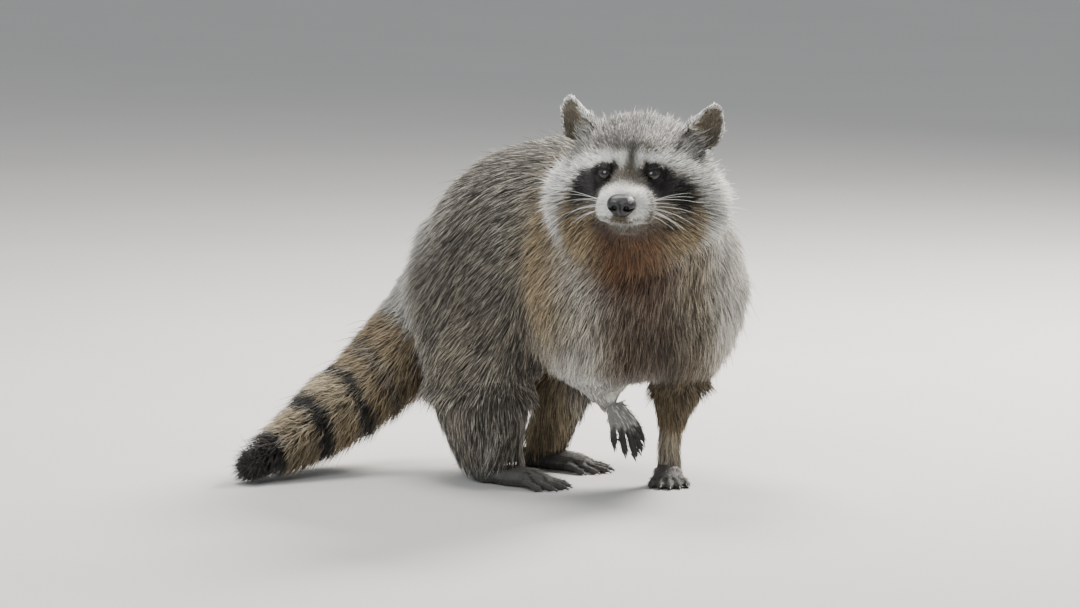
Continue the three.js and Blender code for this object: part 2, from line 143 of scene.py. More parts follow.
def with_modifiers(thing):
    """The object's mesh with its modifiers applied, as a plain mesh, and the modifiers gone."""
    graph = bpy.context.evaluated_depsgraph_get()
    made = bpy.data.meshes.new_from_object(thing.evaluated_get(graph), depsgraph=graph)
    thing.modifiers.clear()
    old = thing.data
    thing.data = made
    bpy.data.meshes.remove(old)
    return made


# ------------------------------------------------------------------------------- the head's frame


class Head:
    """Turns points between the model's frame, in metres, and the head's, in millimetres."""

    LEFT_EYE = np.array([18.6, -44.5, 5.6])
    RIGHT_EYE = np.array([-20.4, -44.5, 4.0])
    NOSE = np.array([-1.0, -91.5, -16.0])

    def __init__(self):
        here = self.triad(self.LEFT_EYE, self.RIGHT_EYE, self.NOSE)
        there = self.triad(centre(EYES["left"]), centre(EYES["right"]), centre("nose"))
        self.axes = here.T @ there
        middle = (self.LEFT_EYE + self.RIGHT_EYE + self.NOSE) / 3
        between = (centre(EYES["left"]) + centre(EYES["right"]) + centre("nose")) / 3
        self.origin = between - middle @ self.axes * MM

    def triad(self, left, right, nose):
        """Three directions at right angles, fixed to the two eyes and the nose."""
        across = unit(left - right)
        over = unit(np.cross(across, nose - right))
        return np.array([across, over, np.cross(across, over)])

    def local(self, points):
        return (points - self.origin) @ self.axes.T / MM

    def world(self, local):
        return self.origin + np.asarray(local) @ self.axes * MM

    def way(self, local):
        return np.asarray(local) @ self.axes


head = Head()


# ------------------------------------------------------------------------------- the eyes' lids


class Eye:
    """One eyeball, and the almond opening that its lids leave."""

    BALL = 7.3
    HALF_WIDE = 6.7
    HALF_HIGH = 4.1
    TILT = 0.16
    TURN_OUT = 0.10

    def __init__(self, side):
        self.sign = 1 if side == "left" else -1
        self.side = side
        self.centre = head.local(centre(EYES[side])[None])[0]
        self.ahead = unit(np.array([self.sign * self.TURN_OUT, -1.0, 0.03]))
        self.across = unit(np.cross(-self.ahead, [0.0, 0.0, 1.0])) * self.sign
        self.up = np.cross(self.across, -self.ahead) * self.sign

    def seen(self, local):
        """Places as (towards the ear, up, ahead), in millimetres from the ball's centre."""
        away = local - self.centre
        return away @ self.across, away @ self.up, away @ self.ahead

    def outside(self, local):
        """How far a place on the ball lies outside the opening. Negative inside it."""
        out, up, _ = self.seen(local)
        reach = np.linalg.norm(local - self.centre, axis=1)
        out, up = out * self.BALL / reach, up * self.BALL / reach
        out, up = out - self.TILT * up, up - self.TILT * out
        inner = ramp(-3.0, -7.0, out)
        u = out / (self.HALF_WIDE + 1.3 * inner)
        high = np.where(up > 0, self.HALF_HIGH, self.HALF_HIGH * 0.92)
        w = np.abs(up) / high
        r = (np.abs(u) ** 1.9 + w**1.9) ** (1 / 1.9)
        return (r - 1) * self.HALF_HIGH


# ------------------------------------------------------------------------------- the skin

FINE_CELL = 1.6

# For each solid: how far the skin lies inside it and how long its hair is, both in mm, how much the
# form is smoothed, and the way that the hair is combed.
BACKWARDS = (0.0, 0.62, -0.78)
SIDEWAYS = {"left": 1, "right": -1}


def body_rules():
    rules = {
        "head": (4, 8, 1.0, BACKWARDS),
        "neck": (12, 30, 1.0, BACKWARDS),
        "chest": (13, 29, 1.0, BACKWARDS),
        "belly": (12, 31, 1.0, BACKWARDS),
        "rump": (13, 34, 1.0, BACKWARDS),
    }
    tail = [centre("rump")] + [centre("tail_" + part) for part in ("base", "middle", "end", "tip")]
    for index, part in enumerate(("base", "middle", "end", "tip")):
        onwards = tuple(unit(tail[index + 1] - tail[index]))
        rules["tail_" + part] = (13 + 0.5 * index, 30, 1.0, onwards)
    for side in SIDEWAYS:
        to_toes = centre("forepaw_" + side) - centre("forearm_" + side)
        hind_toes = (centre("hindpaw_" + side) - centre("shin_" + side)) * [1, 1, 0.1]
        rules["ear_" + side] = (-0.6, 5, 0.12, tuple(head.way([0.4 * SIDEWAYS[side], 0.2, 0.9])))
        rules["shoulder_" + side] = (12, 28, 1.0, (0.0, 0.2, -0.98))
        rules["thigh_" + side] = (12, 30, 1.0, (0.0, 0.4, -0.92))
        rules["forepaw_" + side] = (0.1, 4, 0.06, tuple(unit(to_toes)))
        rules["hindpaw_" + side] = (0.1, 4, 0.06, tuple(unit(hind_toes)))
        rules["shin_" + side] = (3.5, 26, 0.5, (0.0, 0.05, -1.0))
    rules["forearm_left"] = (1.6, 19, 0.4, (0.0, 0.0, -1.0))
    rules["forearm_right"] = (1.8, 7, 0.4, (0.05, -0.3, -0.95))
    return {name: (*row[:3], *row[3]) for name, row in rules.items()}


BODY_RULES = body_rules()


def node_shell(names):
    """The named solids as one loose mesh, and the solid that each face came from."""
    vertices, faces, owner = [], [], []
    first = 0
    for name in names:
        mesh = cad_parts[name].data
        vertices.append(points_of(mesh))
        for face in mesh.polygons:
            faces.append([first + index for index in face.vertices])
            owner.append(name)
        first += len(mesh.vertices)
    return np.concatenate(vertices), faces, owner


def filler_balls():
    """Balls that fill the eye sockets and the nose's seat before the skin is drawn over them."""
    balls = [(Eye(side).centre + [0, 1.0, 0], (8.6, 8.4, 8.6)) for side in EYES]
    balls.append((Head.NOSE + [0, 6.0, -1.5], (10.5, 8.5, 8.0)))
    return balls


def merged_flesh():
    """One closed surface over all the flesh."""
    vertices, faces, _ = node_shell(FLESH)
    made = add_object("skin", mesh_from("skin", vertices, faces))
    body = bmesh.new()
    body.from_mesh(made.data)
    for at, half in filler_balls():
        shape = Matrix.Diagonal((*(half * np.full(3, MM)), 1))
        turn = Matrix(head.axes.T.tolist()).to_4x4()
        spot = Matrix.Translation(Vector(head.world(at)))
        bmesh.ops.create_icosphere(body, subdivisions=3, radius=1, matrix=spot @ turn @ shape)
    bmesh.ops.remove_doubles(body, verts=body.verts, dist=1e-6)
    body.to_mesh(made.data)
    body.free()
    remesh = made.modifiers.new("one surface", "REMESH")
    remesh.mode = "VOXEL"
    remesh.voxel_size = FINE_CELL * MM
    with_modifiers(made)
    keep_largest(made.data)
    return made


def keep_largest(mesh):
    """Drops every loose scrap but the largest."""
    edges = edges_of(mesh)
    label = np.arange(len(mesh.vertices))
    while True:
        low = np.minimum(label[edges[:, 0]], label[edges[:, 1]])
        before = label.copy()
        np.minimum.at(label, edges[:, 0], low)
        np.minimum.at(label, edges[:, 1], low)
        label = label[label]
        if np.array_equal(before, label):
            break
    main = np.bincount(label).argmax()
    body = bmesh.new()
    body.from_mesh(mesh)
    body.verts.ensure_lookup_table()
    scraps = [body.verts[i] for i in np.flatnonzero(label != main)]
    bmesh.ops.delete(body, geom=scraps, context="VERTS")
    body.to_mesh(mesh)
    body.free()


def nearest_rules(points):
    """Each point's row of body rules and the solid that it came from."""
    vertices, faces, owner = node_shell(FLESH)
    tree = BVHTree.FromPolygons([Vector(v) for v in vertices], faces)
    rows = np.array([BODY_RULES[name] for name in owner], dtype=float)
    found = [tree.find_nearest(Vector(p))[2] for p in points]
    return rows[found], np.array(owner)[found]


def from_the_face(local):
    """0 on the muzzle and round the eyes, 1 on the crown, the cheek ruffs and the nape."""
    below = ramp(-29, -38, local[:, 2])
    away = np.linalg.norm((local - [0, -62, -6]) * [0.9, 1.0, 0.85], axis=1)
    return ramp(30, 68, away + 18 * below)


class Ear:
    """The flat shape of one ear: how near its outline a place lies."""

    def __init__(self, side):
        self.sign = SIDEWAYS[side]
        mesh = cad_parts["ear_" + side].data
        corners = points_of(mesh)
        a, b = corners[edges_of(mesh)].transpose(1, 0, 2)
        points = np.concatenate([a + (b - a) * share for share in np.linspace(0, 1, 6)])
        self.middle = corners.mean(0)
        self.across, back, self.up = head.axes
        self.thin = -back
        u, v = (points - self.middle) @ self.across, (points - self.middle) @ self.up
        turn = np.arctan2(v, u)
        self.turns = np.linspace(-np.pi, np.pi, 49)
        apart = np.abs((turn[:, None] - self.turns + np.pi) % (2 * np.pi) - np.pi)
        self.reach = np.max(np.where(apart < 0.12, np.hypot(u, v)[:, None], 0), 0)

    def places(self, points, normals):
        """The share of the way to the edge, the height in mm, how near the crown, and the facing."""
        u, v = (points - self.middle) @ self.across, (points - self.middle) @ self.up
        far = np.interp(np.arctan2(v, u), self.turns, self.reach)
        crown = -self.sign * (points - self.middle) @ head.axes[0] / 0.018
        return np.hypot(u, v) / far, v / MM, crown, normals @ self.thin

    def outwards(self, points):
        u, v = (points - self.middle) @ self.across, (points - self.middle) @ self.up
        return unit(u[:, None] * self.across + v[:, None] * self.up)


EARS = {side: Ear(side) for side in SIDEWAYS}


def ear_places(points, normals):
    on_left = head.local(points)[:, 0] > 0
    pair = [np.stack(EARS[side].places(points, normals), 1) for side in ("left", "right")]
    return np.where(on_left[:, None], *pair).T


def hem_rules(points, owner, rows):
    """Shorter hair at the chest's hem, the tail's tip and the hanging wrist, and longer over the heels."""
    rows = rows.copy()
    tails = np.char.startswith(owner, "tail")
    rows[tails, 1] *= (0.8 + 0.2 * ramp(12, 50, along_tail(points)[0]))[tails]
    for side in SIDEWAYS:
        above = np.linalg.norm(points - centre("shin_" + side), axis=1) / MM
        heel = (owner == "hindpaw_" + side) * ramp(46, 26, above)
        rows[:, 1] = np.maximum(rows[:, 1], 4 + 14 * heel)
        rows[heel > 0.3, 3:] = unit(np.array([0.0, 0.15, -1.0]))
    ends = np.isin(owner, ("chest", "belly", "neck", "shoulder_left", "shoulder_right"))
    rows[ends, 1] *= (0.55 + 0.45 * ramp(88, 132, points[:, 2] / MM))[ends]
    away = np.linalg.norm((points - centre("forearm_right")) / MM, axis=1)
    hand = owner == "forepaw_right"
    lifted = ramp(66, 34, away) * ~hand
    rows[:, 0] = rows[:, 0] * (1 - lifted) + 1.0 * lifted
    rows[:, 1] = rows[:, 1] * (1 - lifted) + 10.0 * lifted
    rows[hand, 1] += 5 * ramp(44, 24, away[hand])
    rows[:, 2] = np.maximum(rows[:, 2], ramp(42, 30, away))
    return rows


def head_rules(local, owner, rows):
    """The head's own depth of coat, length of hair and way of combing, over the solids' plain rows."""
    back = from_the_face(local)
    mine = owner == "head"
    rows = rows.copy()
    rows[mine, 0] = (1.6 + 8.5 * back)[mine]
    chin = ramp(-27, -30, local[:, 2]) * ramp(-37, -34, local[:, 2]) * ramp(20, 15, np.abs(local[:, 0]))
    rows[mine, 1] = ((3.6 + 19 * back**1.3) * (1 - 0.5 * chin * ramp(-40, -55, local[:, 1])))[mine]
    flow = unit(local - [0, -92, -6])
    flow[:, 2] -= 0.35 * back * ramp(20, -20, local[:, 2])
    flow[:, 1] += 0.3
    rows[mine, 3:] = unit(head.way(flow))[mine]
    for side, ear in EARS.items():
        mine = owner == "ear_" + side
        points = head.world(local[mine])
        edge, _, crown, _ = ear.places(points, points)
        edge = ramp(0.5, 0.95, edge)[:, None]
        fringe = ramp(0.15, 0.7, crown)
        away = ear.across * np.sign(ear.across @ head.axes[0]) * ear.sign
        rows[mine, 3:] = unit(ear.outwards(points) * edge + away * 0.8 * fringe[:, None] + ear.up)
        rows[mine, 1] = 4.5 + 4.5 * fringe
    return rows


def decimated(made, share, keep):
    """Fewer triangles, taken mostly where keep is low."""
    group = made.vertex_groups.new(name="keep")
    for level in np.unique(np.round(keep, 1)):
        group.add(np.flatnonzero(np.round(keep, 1) == level).tolist(), float(level), "REPLACE")
    fewer = made.modifiers.new("fewer", "DECIMATE")
    fewer.ratio = share
    fewer.vertex_group = "keep"
    fewer.invert_vertex_group = True
    fewer.vertex_group_factor = 6.0
    mesh = with_modifiers(made)
    made.vertex_groups.clear()
    return mesh


def sunk(points, mesh, edges, depth):
    """The surface moved inwards by the coat's depth, in steps, smoothing as it goes."""
    soft = ramp(1.0, 6.0, depth)
    for _ in range(5):
        normals = unit(spread(normals_of(mesh), edges, 5))
        points = points - normals * (depth * MM / 5)[:, None]
        points = spread(points, edges, 4, 0.5 * soft)
        place(mesh, points)
    return points


def lid_shape(local, eye):
    """Moves the skin round one eye into two lids with rims, and behind the ball inside the opening."""
    _, up, ahead = eye.seen(local)
    reach = np.linalg.norm(local - eye.centre, axis=1)
    beside = eye.outside(local)
    near = (reach < 17) & (ahead > 0.5)
    lid = 0.55 + 0.6 * bump(beside, 0.8, 0.7) + 0.10 * np.maximum(beside - 1, 0)
    lid -= 0.45 * bump(beside, 3.1 + 0.4 * ramp(-2, 2, up), 0.7)
    lid += 0.9 * ramp(1.0, 4.0, up) * ramp(2.0, 5.0, beside)
    within = 0.7 * ramp(-1.3, 0, beside) - 1.9 * ramp(-0.2, -1.3, beside)
    sphere = eye.BALL + np.where(beside > 0, lid, within)
    far = ramp(2.6, 7.5, beside)
    wanted = sphere * (1 - far) + reach * far
    wanted = np.where(near, wanted, reach)
    fade = ramp(0.5, 3.0, ahead)
    wanted = wanted * fade + reach * (1 - fade)
    return eye.centre + (local - eye.centre) * (wanted / reach)[:, None]


def mouth_height(x):
    """The height of the line between the lips."""
    return -28.5 + 4.5 * (np.abs(x) / 18) ** 2


def mouth_shape(local, normals):
    """Presses the line of the mouth into the muzzle, and the groove from the nose down to it."""
    x, y, z = local.T
    away = z - mouth_height(x)
    front = ramp(-52, -60, y) * ramp(19, 12, np.abs(x))
    deep = 2.0 * bump(away, 0, 1.0) - 0.7 * bump(away, 2.6, 1.6) - 0.5 * bump(away, -2.6, 1.8)
    groove = 1.1 * bump(x, -0.5, 0.9) * ramp(-28.5, -27, z) * ramp(-20, -24, z) * ramp(-75, -80, y)
    return local - normals * (deep * front + groove)[:, None]


def finer(mesh, chosen):
    """Splits every edge whose two ends are chosen."""
    body = bmesh.new()
    body.from_mesh(mesh)
    split = [edge for edge in body.edges if chosen[edge.verts[0].index] and chosen[edge.verts[1].index]]
    bmesh.ops.subdivide_edges(body, edges=split, cuts=1, use_grid_fill=True)
    bmesh.ops.triangulate(body, faces=body.faces)
    body.to_mesh(mesh)
    body.free()


def near_the_eyes(points, reach):
    local = head.local(points)
    away = [np.linalg.norm(local - Eye(side).centre, axis=1) for side in EYES]
    return np.minimum(*away) < reach


def near_the_mouth(points):
    x, y, z = head.local(points).T
    return (np.abs(x) < 27) & (y < -50) & (np.abs(z + 27) < 12)


def make_skin():
    """The skin, lying inside the solids by the depth of the coat."""
    made = merged_flesh()
    mesh = made.data
    points = points_of(mesh)
    rows, owner = nearest_rules(points)
    rows = head_rules(head.local(points), owner, hem_rules(points, owner, rows))
    edges = edges_of(mesh)
    rows = spread(rows[:, :3], edges, 25)
    points = spread(points, edges, 14, 0.5 * rows[:, 2])
    place(mesh, points)
    sunk(points, mesh, edges, rows[:, 0])
    keep = 1 - ramp(3.0, 9.0, rows[:, 0])
    mesh = decimated(made, 0.42, keep)
    for reach in (15.0, 11.5):
        finer(mesh, near_the_eyes(points_of(mesh), reach))
    finer(mesh, near_the_mouth(points_of(mesh)))
    place(mesh, spread(points_of(mesh), edges_of(mesh), 2, near_the_eyes(points_of(mesh), 16) * 0.5))
    local = mouth_shape(head.local(points_of(mesh)), normals_of(mesh) @ head.axes.T)
    for side in EYES:
        local = lid_shape(local, Eye(side))
    place(mesh, head.world(local))
    for face in mesh.polygons:
        face.use_smooth = True
    return made


def toe_tips(paw, shank):
    """The five toes of a paw, longest first, as the wrist and each tip."""
    points = points_of(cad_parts[paw].data)
    wrist = points[np.argsort(np.linalg.norm(points - centre(shank), axis=1))[:12]].mean(0)
    left = points
    toes = []
    while len(toes) < 5 and len(left):
        tip = left[np.linalg.norm(left - wrist, axis=1).argmax()]
        line = tip - wrist
        t = np.clip((left - wrist) @ line / (line @ line), 0, 1)
        away = np.linalg.norm(left - wrist - t[:, None] * line, axis=1)
        left = left[away > 5.5 * MM]
        toes.append(tip)
    return wrist, toes


def between_toes(points):
    """1 in the lines between the toes of every paw: the painted shade in the gaps between them."""
    dark = np.zeros(len(points))
    for side in SIDEWAYS:
        for paw, shank in (("forepaw_", "forearm_"), ("hindpaw_", "shin_")):
            wrist, toes = toe_tips(paw + side, shank + side)
            toes = np.array(toes)
            onwards = toes.mean(0) - wrist
            across = toes[np.linalg.norm(toes - toes[0], axis=1).argmax()] - toes[0]
            over = unit(np.cross(onwards, across))
            toes = toes[np.argsort(toes @ unit(np.cross(over, onwards)))]
            for tip in (toes[1:] + toes[:-1]) / 2:
                start = wrist * 0.45 + tip * 0.55
                long = tip - start
                off = points - start
                off = off - over * (off @ over)[:, None]
                t = off @ long / (long @ long)
                off = np.linalg.norm(off - np.clip(t, 0, 1)[:, None] * long, axis=1) / MM
                near = np.linalg.norm(points - tip, axis=1) < 0.045
                dark = np.maximum(dark, near * bump(off, 0, 1.1))
    return dark


# ------------------------------------------------------------------------------- markings


def stroke(x, z, path):
    """How far each place lies outside a line of changing half-width, given as (x, z, half-width)."""
    nearest = np.full(len(x), 1e9)
    for (x0, z0, w0), (x1, z1, w1) in zip(path, path[1:]):
        long = np.array([x1 - x0, z1 - z0])
        t = np.clip(((x - x0) * long[0] + (z - z0) * long[1]) / (long @ long), 0, 1)
        away = np.hypot(x - x0 - t * long[0], z - z0 - t * long[1])
        nearest = np.minimum(nearest, away - (w0 + t * (w1 - w0)))
    return nearest


# Strokes on the face: across, up and half-width, in mm, from the inner end to the outer.
MASK = {
    "left": [(13, 15, 0.6), (12.5, 7, 3.5), (20, -0.5, 8.5), (33, -9, 10.5), (42, -18, 8), (46, -27, 4)],
    "right": [(-13, 14, 0.6), (-13, 7, 3.5), (-21, 1, 8.5), (-33, -7.5, 10.5), (-43, -16, 8), (-48, -23, 4)],
}
BROW = {
    "left": [(7, 12, 2), (8.5, 19, 4.5), (25, 17, 4.5), (38, 13, 6.5)]
    + [(52, 3, 6), (63, -9, 7), (68, -26, 8), (67, -60, 9)],
    "right": [(-6.5, 12, 2), (-8.5, 18, 4.5), (-25, 14.5, 5), (-38, 10, 7)]
    + [(-52, 2, 7), (-64, -12, 8), (-67, -28, 8), (-65, -55, 8)],
}
LIDS = {
    "left": [(12.5, 8, 3), (19, 6.5, 6.5), (26, 3, 6)],
    "right": [(-13, 8, 3), (-21, 5, 6.5), (-28, 1.5, 6)],
}
LOWER_PATCH = {"left": [(27, -34, 3.5), (33, -40, 4)], "right": [(-19, -37, 2.5), (-27, -37, 4)]}
MUZZLE = [(-13, -18.5, 8), (-12.5, -14, 8.5), (-1.5, -11.5, 10.5), (10.5, -14, 8.5), (12, -18.5, 8)]
CHIN = [(-17, -27.5, 0.8), (-9, -30.8, 1.6), (0, -31.8, 2.0), (9, -30.8, 1.6), (17, -27.5, 0.8)]
BRIDGE = [(0, -1, 6), (0.5, 8, 3.5)]
STREAK = [(0.5, 9, 0.5), (1, 20, 1.2), (1.5, 32, 3.0), (2, 44, 10)]
# PHILTRUM is the painted shadow under the nose.
PHILTRUM = [(-5, -25.5, 1.2), (4, -25.5, 1.2)]


def face_marks(local):
    """White, black, rust and tan, and a greyness, on the head."""
    x, y, z = local.T
    x = x + 1.3 * wobble(local, 11, 1)
    z = z + 1.3 * wobble(local, 9, 2)
    front = ramp(8, -14, y)

    def inside(path, soft):
        return ramp(soft, -soft, stroke(x, z, path)) * front

    def either(paths, soft):
        return np.maximum(inside(paths["left"], soft), inside(paths["right"], soft))

    white = either(BROW, 4.5)
    white = np.maximum(white, inside(MUZZLE, 2.0))
    white = np.maximum(white, 0.9 * inside(CHIN, 2.0))
    black = np.maximum(either(MASK, 1.5), either(LIDS, 1.5))
    black = np.maximum(black, 0.85 * either(LOWER_PATCH, 3))
    black = np.maximum(black, 0.62 * inside(STREAK, 4.0))
    lips = bump(z, mouth_height(x), 0.9) * ramp(17, 12, np.abs(x)) * ramp(-50, -58, y)
    black = np.maximum(black, 0.9 * lips)
    bridge = inside(BRIDGE, 4.5)
    low = ramp(-20, -30, z + 0.2 * np.abs(x)) * front * ramp(72, 58, np.abs(x))
    rust = low * ramp(42, 14, np.abs(x)) * ramp(-32, -39, z)
    # Under the chin: dark brown fur, darkened further as painted shade.
    dusk = low * ramp(34, 22, np.abs(x)) * ramp(-27, -33, z) * ramp(-52, -40, z)
    black = np.maximum(black, 0.55 * dusk)
    tan = np.maximum(low, 0.6 * bridge)
    tan = np.maximum(tan, 0.35 * ramp(-6, -16, z) * front)
    cream = inside([(9, 8, 2), (11, 24, 3)], 3) + inside([(-9, 8, 2), (-11, 23, 3)], 3)
    # Painted shadow: tan under the nose, where the nose's shadow falls, with the white taken out there.
    philtrum = inside(PHILTRUM, 2.5)
    tan = np.maximum(tan, 0.8 * philtrum)
    white *= (1 - 0.55 * bridge) * (1 - 0.22 * cream) * (1 - 0.7 * philtrum)
    tan = np.maximum(tan, 0.8 * cream)
    ruff = ramp(54, 64, np.abs(x)) * ramp(12, 0, z) * ramp(-95, -75, z) * ramp(34, 14, y)
    white = np.maximum(white, 0.9 * ruff)
    crown = ramp(20, 27, z + 0.2 * np.abs(x)) * (1 - white)
    black = np.maximum(black, 0.2 * crown * ramp(44, 14, np.abs(x)) * ramp(60, 34, z))
    temple = bump(np.abs(x), 45, 12) * ramp(16, 28, z)
    white = np.maximum(white, 0.35 * temple)
    flush = ramp(44, 54, np.abs(x)) * ramp(74, 62, np.abs(x)) * ramp(-13, -26, z) * front
    tan = np.maximum(tan, 0.9 * flush)
    white *= 1 - 0.65 * flush
    grey = 0.25 * (1 - flush) + 0.35 * bridge + 0.7 * crown * (1 - temple)
    tan = np.maximum(tan, 0.5 * temple)
    return white * (1 - black), black, rust, np.clip(tan - white + 0.5 * cream, 0, 1), grey


def along_tail(points):
    """How far each place is from the tail's tip along its middle, and its way out from there, in mm."""
    stops = [centre("tail_tip") + unit(centre("tail_tip") - centre("tail_middle")) * 0.026]
    stops += [centre("tail_" + part) for part in ("tip", "end", "middle", "base")]
    stops.append(centre("rump"))
    best = np.full(len(points), 1e9)
    far = np.zeros(len(points))
    out = np.zeros((len(points), 3))
    passed = 0.0
    for a, b in zip(stops, stops[1:]):
        long = np.linalg.norm(b - a)
        t = (points - a) @ (b - a) / long**2
        t = np.clip(t, 0 if passed else -1, 1)
        off = points - a - t[:, None] * (b - a)
        away = np.linalg.norm(off, axis=1)
        nearer = away < best
        best = np.where(nearer, away, best)
        far = np.where(nearer, (passed + t * long) / MM, far)
        out = np.where(nearer[:, None], off / MM, out)
        passed += long
    return far, out


RING = 49.0
NEXT_RING = 36.0
RING_LEAN = (-0.15, -0.18, -0.24)


def tail_marks(points):
    """Dark and cream rings, dying away into brown at the root of the tail."""
    far, out = along_tail(points)
    far = far + 2.5 * wobble(points, 0.02, 4) + out @ RING_LEAN + 6
    turns = np.where(far < 81 + RING, (far - 81) / RING, 1 + (far - 81 - RING) / NEXT_RING)
    beat = np.cos(turns * 2 * np.pi)
    dark = np.maximum(ramp(0.0, 0.6, beat) * ramp(50, 60, far), ramp(38, 29, far))
    dark *= ramp(185, 135, far)
    rooted = ramp(110, 170, far)
    lit = ramp(-14, 18, out[:, 2])
    black = dark * (0.9 - 0.2 * rooted) + 0.16 * rooted * (1 - lit)
    tan = 1 - dark
    white = (1 - dark) * (0.18 + 0.44 * lit) * (1 - 0.75 * rooted)
    return white, black, 0.12 * rooted, tan, 0.35 * ramp(150, 190, far)


def body_marks(points, normals):
    """Grizzled grey with a rust chest, a paler band behind the cheek, and dark cuffs above the paws."""
    x, y, z = points.T / MM
    patchy = wobble(points, 0.05, 5)
    round_chest = 0.77 * x - 0.64 * y + 6 * patchy
    breast = ramp(44, 16, np.abs(round_chest - 106)) * ramp(-50, -90, y)
    breast = breast * ramp(88, 110, z) * ramp(245, 215, z)
    throat = ramp(60, 20, np.linalg.norm((points / MM - [10, -140, 216]) * [1, 1, 0.9], axis=1))
    rust = np.maximum((0.64 + 0.25 * patchy) * breast, throat)
    cuffs = ramp(84, 68, z) * ramp(44, 56, z) * ramp(0, -25, y) * ramp(70, 90, x)
    black = 0.45 * cuffs
    pale = 0.16 * ramp(56, 40, z) * ramp(-20, -40, y) + 0.25 * ramp(-20, -75, y) * ramp(90, 120, z)
    edge = ramp(150, 176, round_chest)
    edge = edge * (0.62 + 0.2 * patchy) - 0.25 * ramp(128, 150, round_chest)
    pale += edge * ramp(-15, -85, y) * ramp(80, 120, z)
    pale = np.maximum(pale, 0)
    collar = bump(round_chest, 12, 26) * ramp(120, 160, z) * ramp(-20, -50, y)
    tan = 0.3 + 0.35 * ramp(0, -60, y) + 0.2 * patchy + 0.4 * cuffs + 0.5 * collar + 0.5 * breast
    pale = pale * (1 - 0.8 * breast) * (1 - 0.5 * collar) + (0.44 + 0.14 * patchy) * ramp(100, 160, y)
    pale += 0.25 * bump(round_chest, 50, 24) * ramp(142, 122, z) * ramp(-20, -50, y)
    legs = np.maximum(ramp(112, 92, z) * ramp(64, 84, x), ramp(175, 115, z) * bump(round_chest, 139, 26))
    legs *= ramp(-10, -40, y) * ramp(50, 62, z)
    # Painted fill light: on the far side, the leg and belly that face away to -x lie in the belly's shade, so
    # they are made tan and paler here and lose grey below.
    inner = ramp(0.3, -0.3, normals[:, 0]) * ramp(0, 12, x) * ramp(150, 110, z)
    inner *= ramp(30, 50, y) * ramp(150, 130, y)
    tan = np.maximum(tan, 0.9 * np.maximum(legs, inner))
    pale = pale * (1 - 0.8 * legs) + 0.22 * inner
    # The breast's dark share is partly its dark brown fur and partly painted shade, since the chest lies in
    # shade.
    black = np.maximum(black * ramp(0, -30, y), 0.34 * breast + 0.45 * legs)
    # Painted shade: the middle of the flank, which lies in shade, is darkened.
    black = black + 0.24 * bump(z, 178, 45) * ramp(-40, 10, y) * ramp(140, 95, y)
    sleeve = ramp(60, 40, np.linalg.norm(points - centre("forearm_right"), axis=1) / MM)
    pale = np.maximum(pale, 0.5 * sleeve)
    tan = np.minimum(tan, 1 - 0.8 * sleeve)
    # The (1 - inner) takes the grey off the painted fill light on the far leg and belly.
    grey = (0.15 + 0.7 * ramp(-50, 10, y) * ramp(210, 120, y)) * (1 - collar) * (1 - inner)
    return pale * (1 - rust), np.clip(black, 0, 1), rust, np.clip(tan, 0, 1) * (1 - rust), np.clip(grey, 0, 1)


def paw_marks(points):
    """Dusky grey skin, nearly black on the toes."""
    z = points[:, 2] / MM
    patchy = wobble(points, 0.012, 6)
    black = 0.05 + 0.12 * patchy + 0.3 * ramp(10, 3, z)
    fingers = ramp(34, 46, np.linalg.norm(points - centre("forearm_right"), axis=1) / MM)
    hanging = ramp(20, 30, z)
    black = np.where(z > 22, 0.75 * fingers + 0.1 * patchy, black)
    # Painted shade: dark lines in the gaps between the toes.
    black = np.maximum(black, 0.9 * between_toes(points))
    white = 0.42 * hanging * (1 - fingers) + 0.06
    return white, np.clip(black, 0, 1), 0.0 * z, 0.25 + 0.0 * z, 0.6 + 0.0 * z


def ear_marks(points, normals):
    """A white rim, dusky inside with dark streaks and with painted shade low in the hollow away from the
    crown, yellowish hair near the crown, and darker behind.
    """
    edge, height, inwards, facing = ear_places(points, normals)
    inside = ramp(-0.1, 0.3, facing)
    rim = ramp(0.78 - 0.08 * inwards, 0.86, edge) * ramp(-16, -6, height)
    rooted = ramp(4, -10, height) * ramp(-0.3, 0.4, inwards)
    streaks = ramp(-0.1, 0.5, wobble(points, 0.0025, 9))
    white = np.maximum(rim, 0.22 * rooted)
    white = np.maximum(white, (0.1 + 0.2 * ramp(0.0, 0.7, inwards)) * inside * (1 - 0.6 * streaks))
    # Painted shade: the low hollow of the ear, on the side away from the crown, is darkened where shade
    # falls.
    deep = inside * ramp(0.2, -0.4, inwards) * ramp(12, -6, height)
    black = (1 - rim) * (1 - rooted) * np.maximum(0.4 * streaks * inside, 0.5 * deep)
    black = np.maximum(black, 0.2 * (1 - inside) * (1 - rim) * (1 - rooted))
    return white, black, 0.0 * rim, (0.75 + 0.25 * rooted) * (1 - rim), 0.2 + 0 * rim


def markings(points, normals, shares):
    """Every marking at each point, blended by how much of each part of the body it belongs to."""
    marks = {
        "head": face_marks(head.local(points)),
        "ear": ear_marks(points, normals),
        "tail": tail_marks(points),
        "paw": paw_marks(points),
        "body": body_marks(points, normals),
    }
    total = sum(shares.values())
    made = np.zeros((len(points), 5))
    for part, marked in marks.items():
        made += np.stack(marked, 1) * (shares[part] / total)[:, None]
    return np.clip(made, 0, 1)


def part_of(owner):
    """Which family of markings each solid has."""
    if "paw" in owner:
        return "paw"
    for part in ("head", "ear", "tail"):
        if owner.startswith(part):
            return part
    return "body"


# ------------------------------------------------------------------------------- finishes


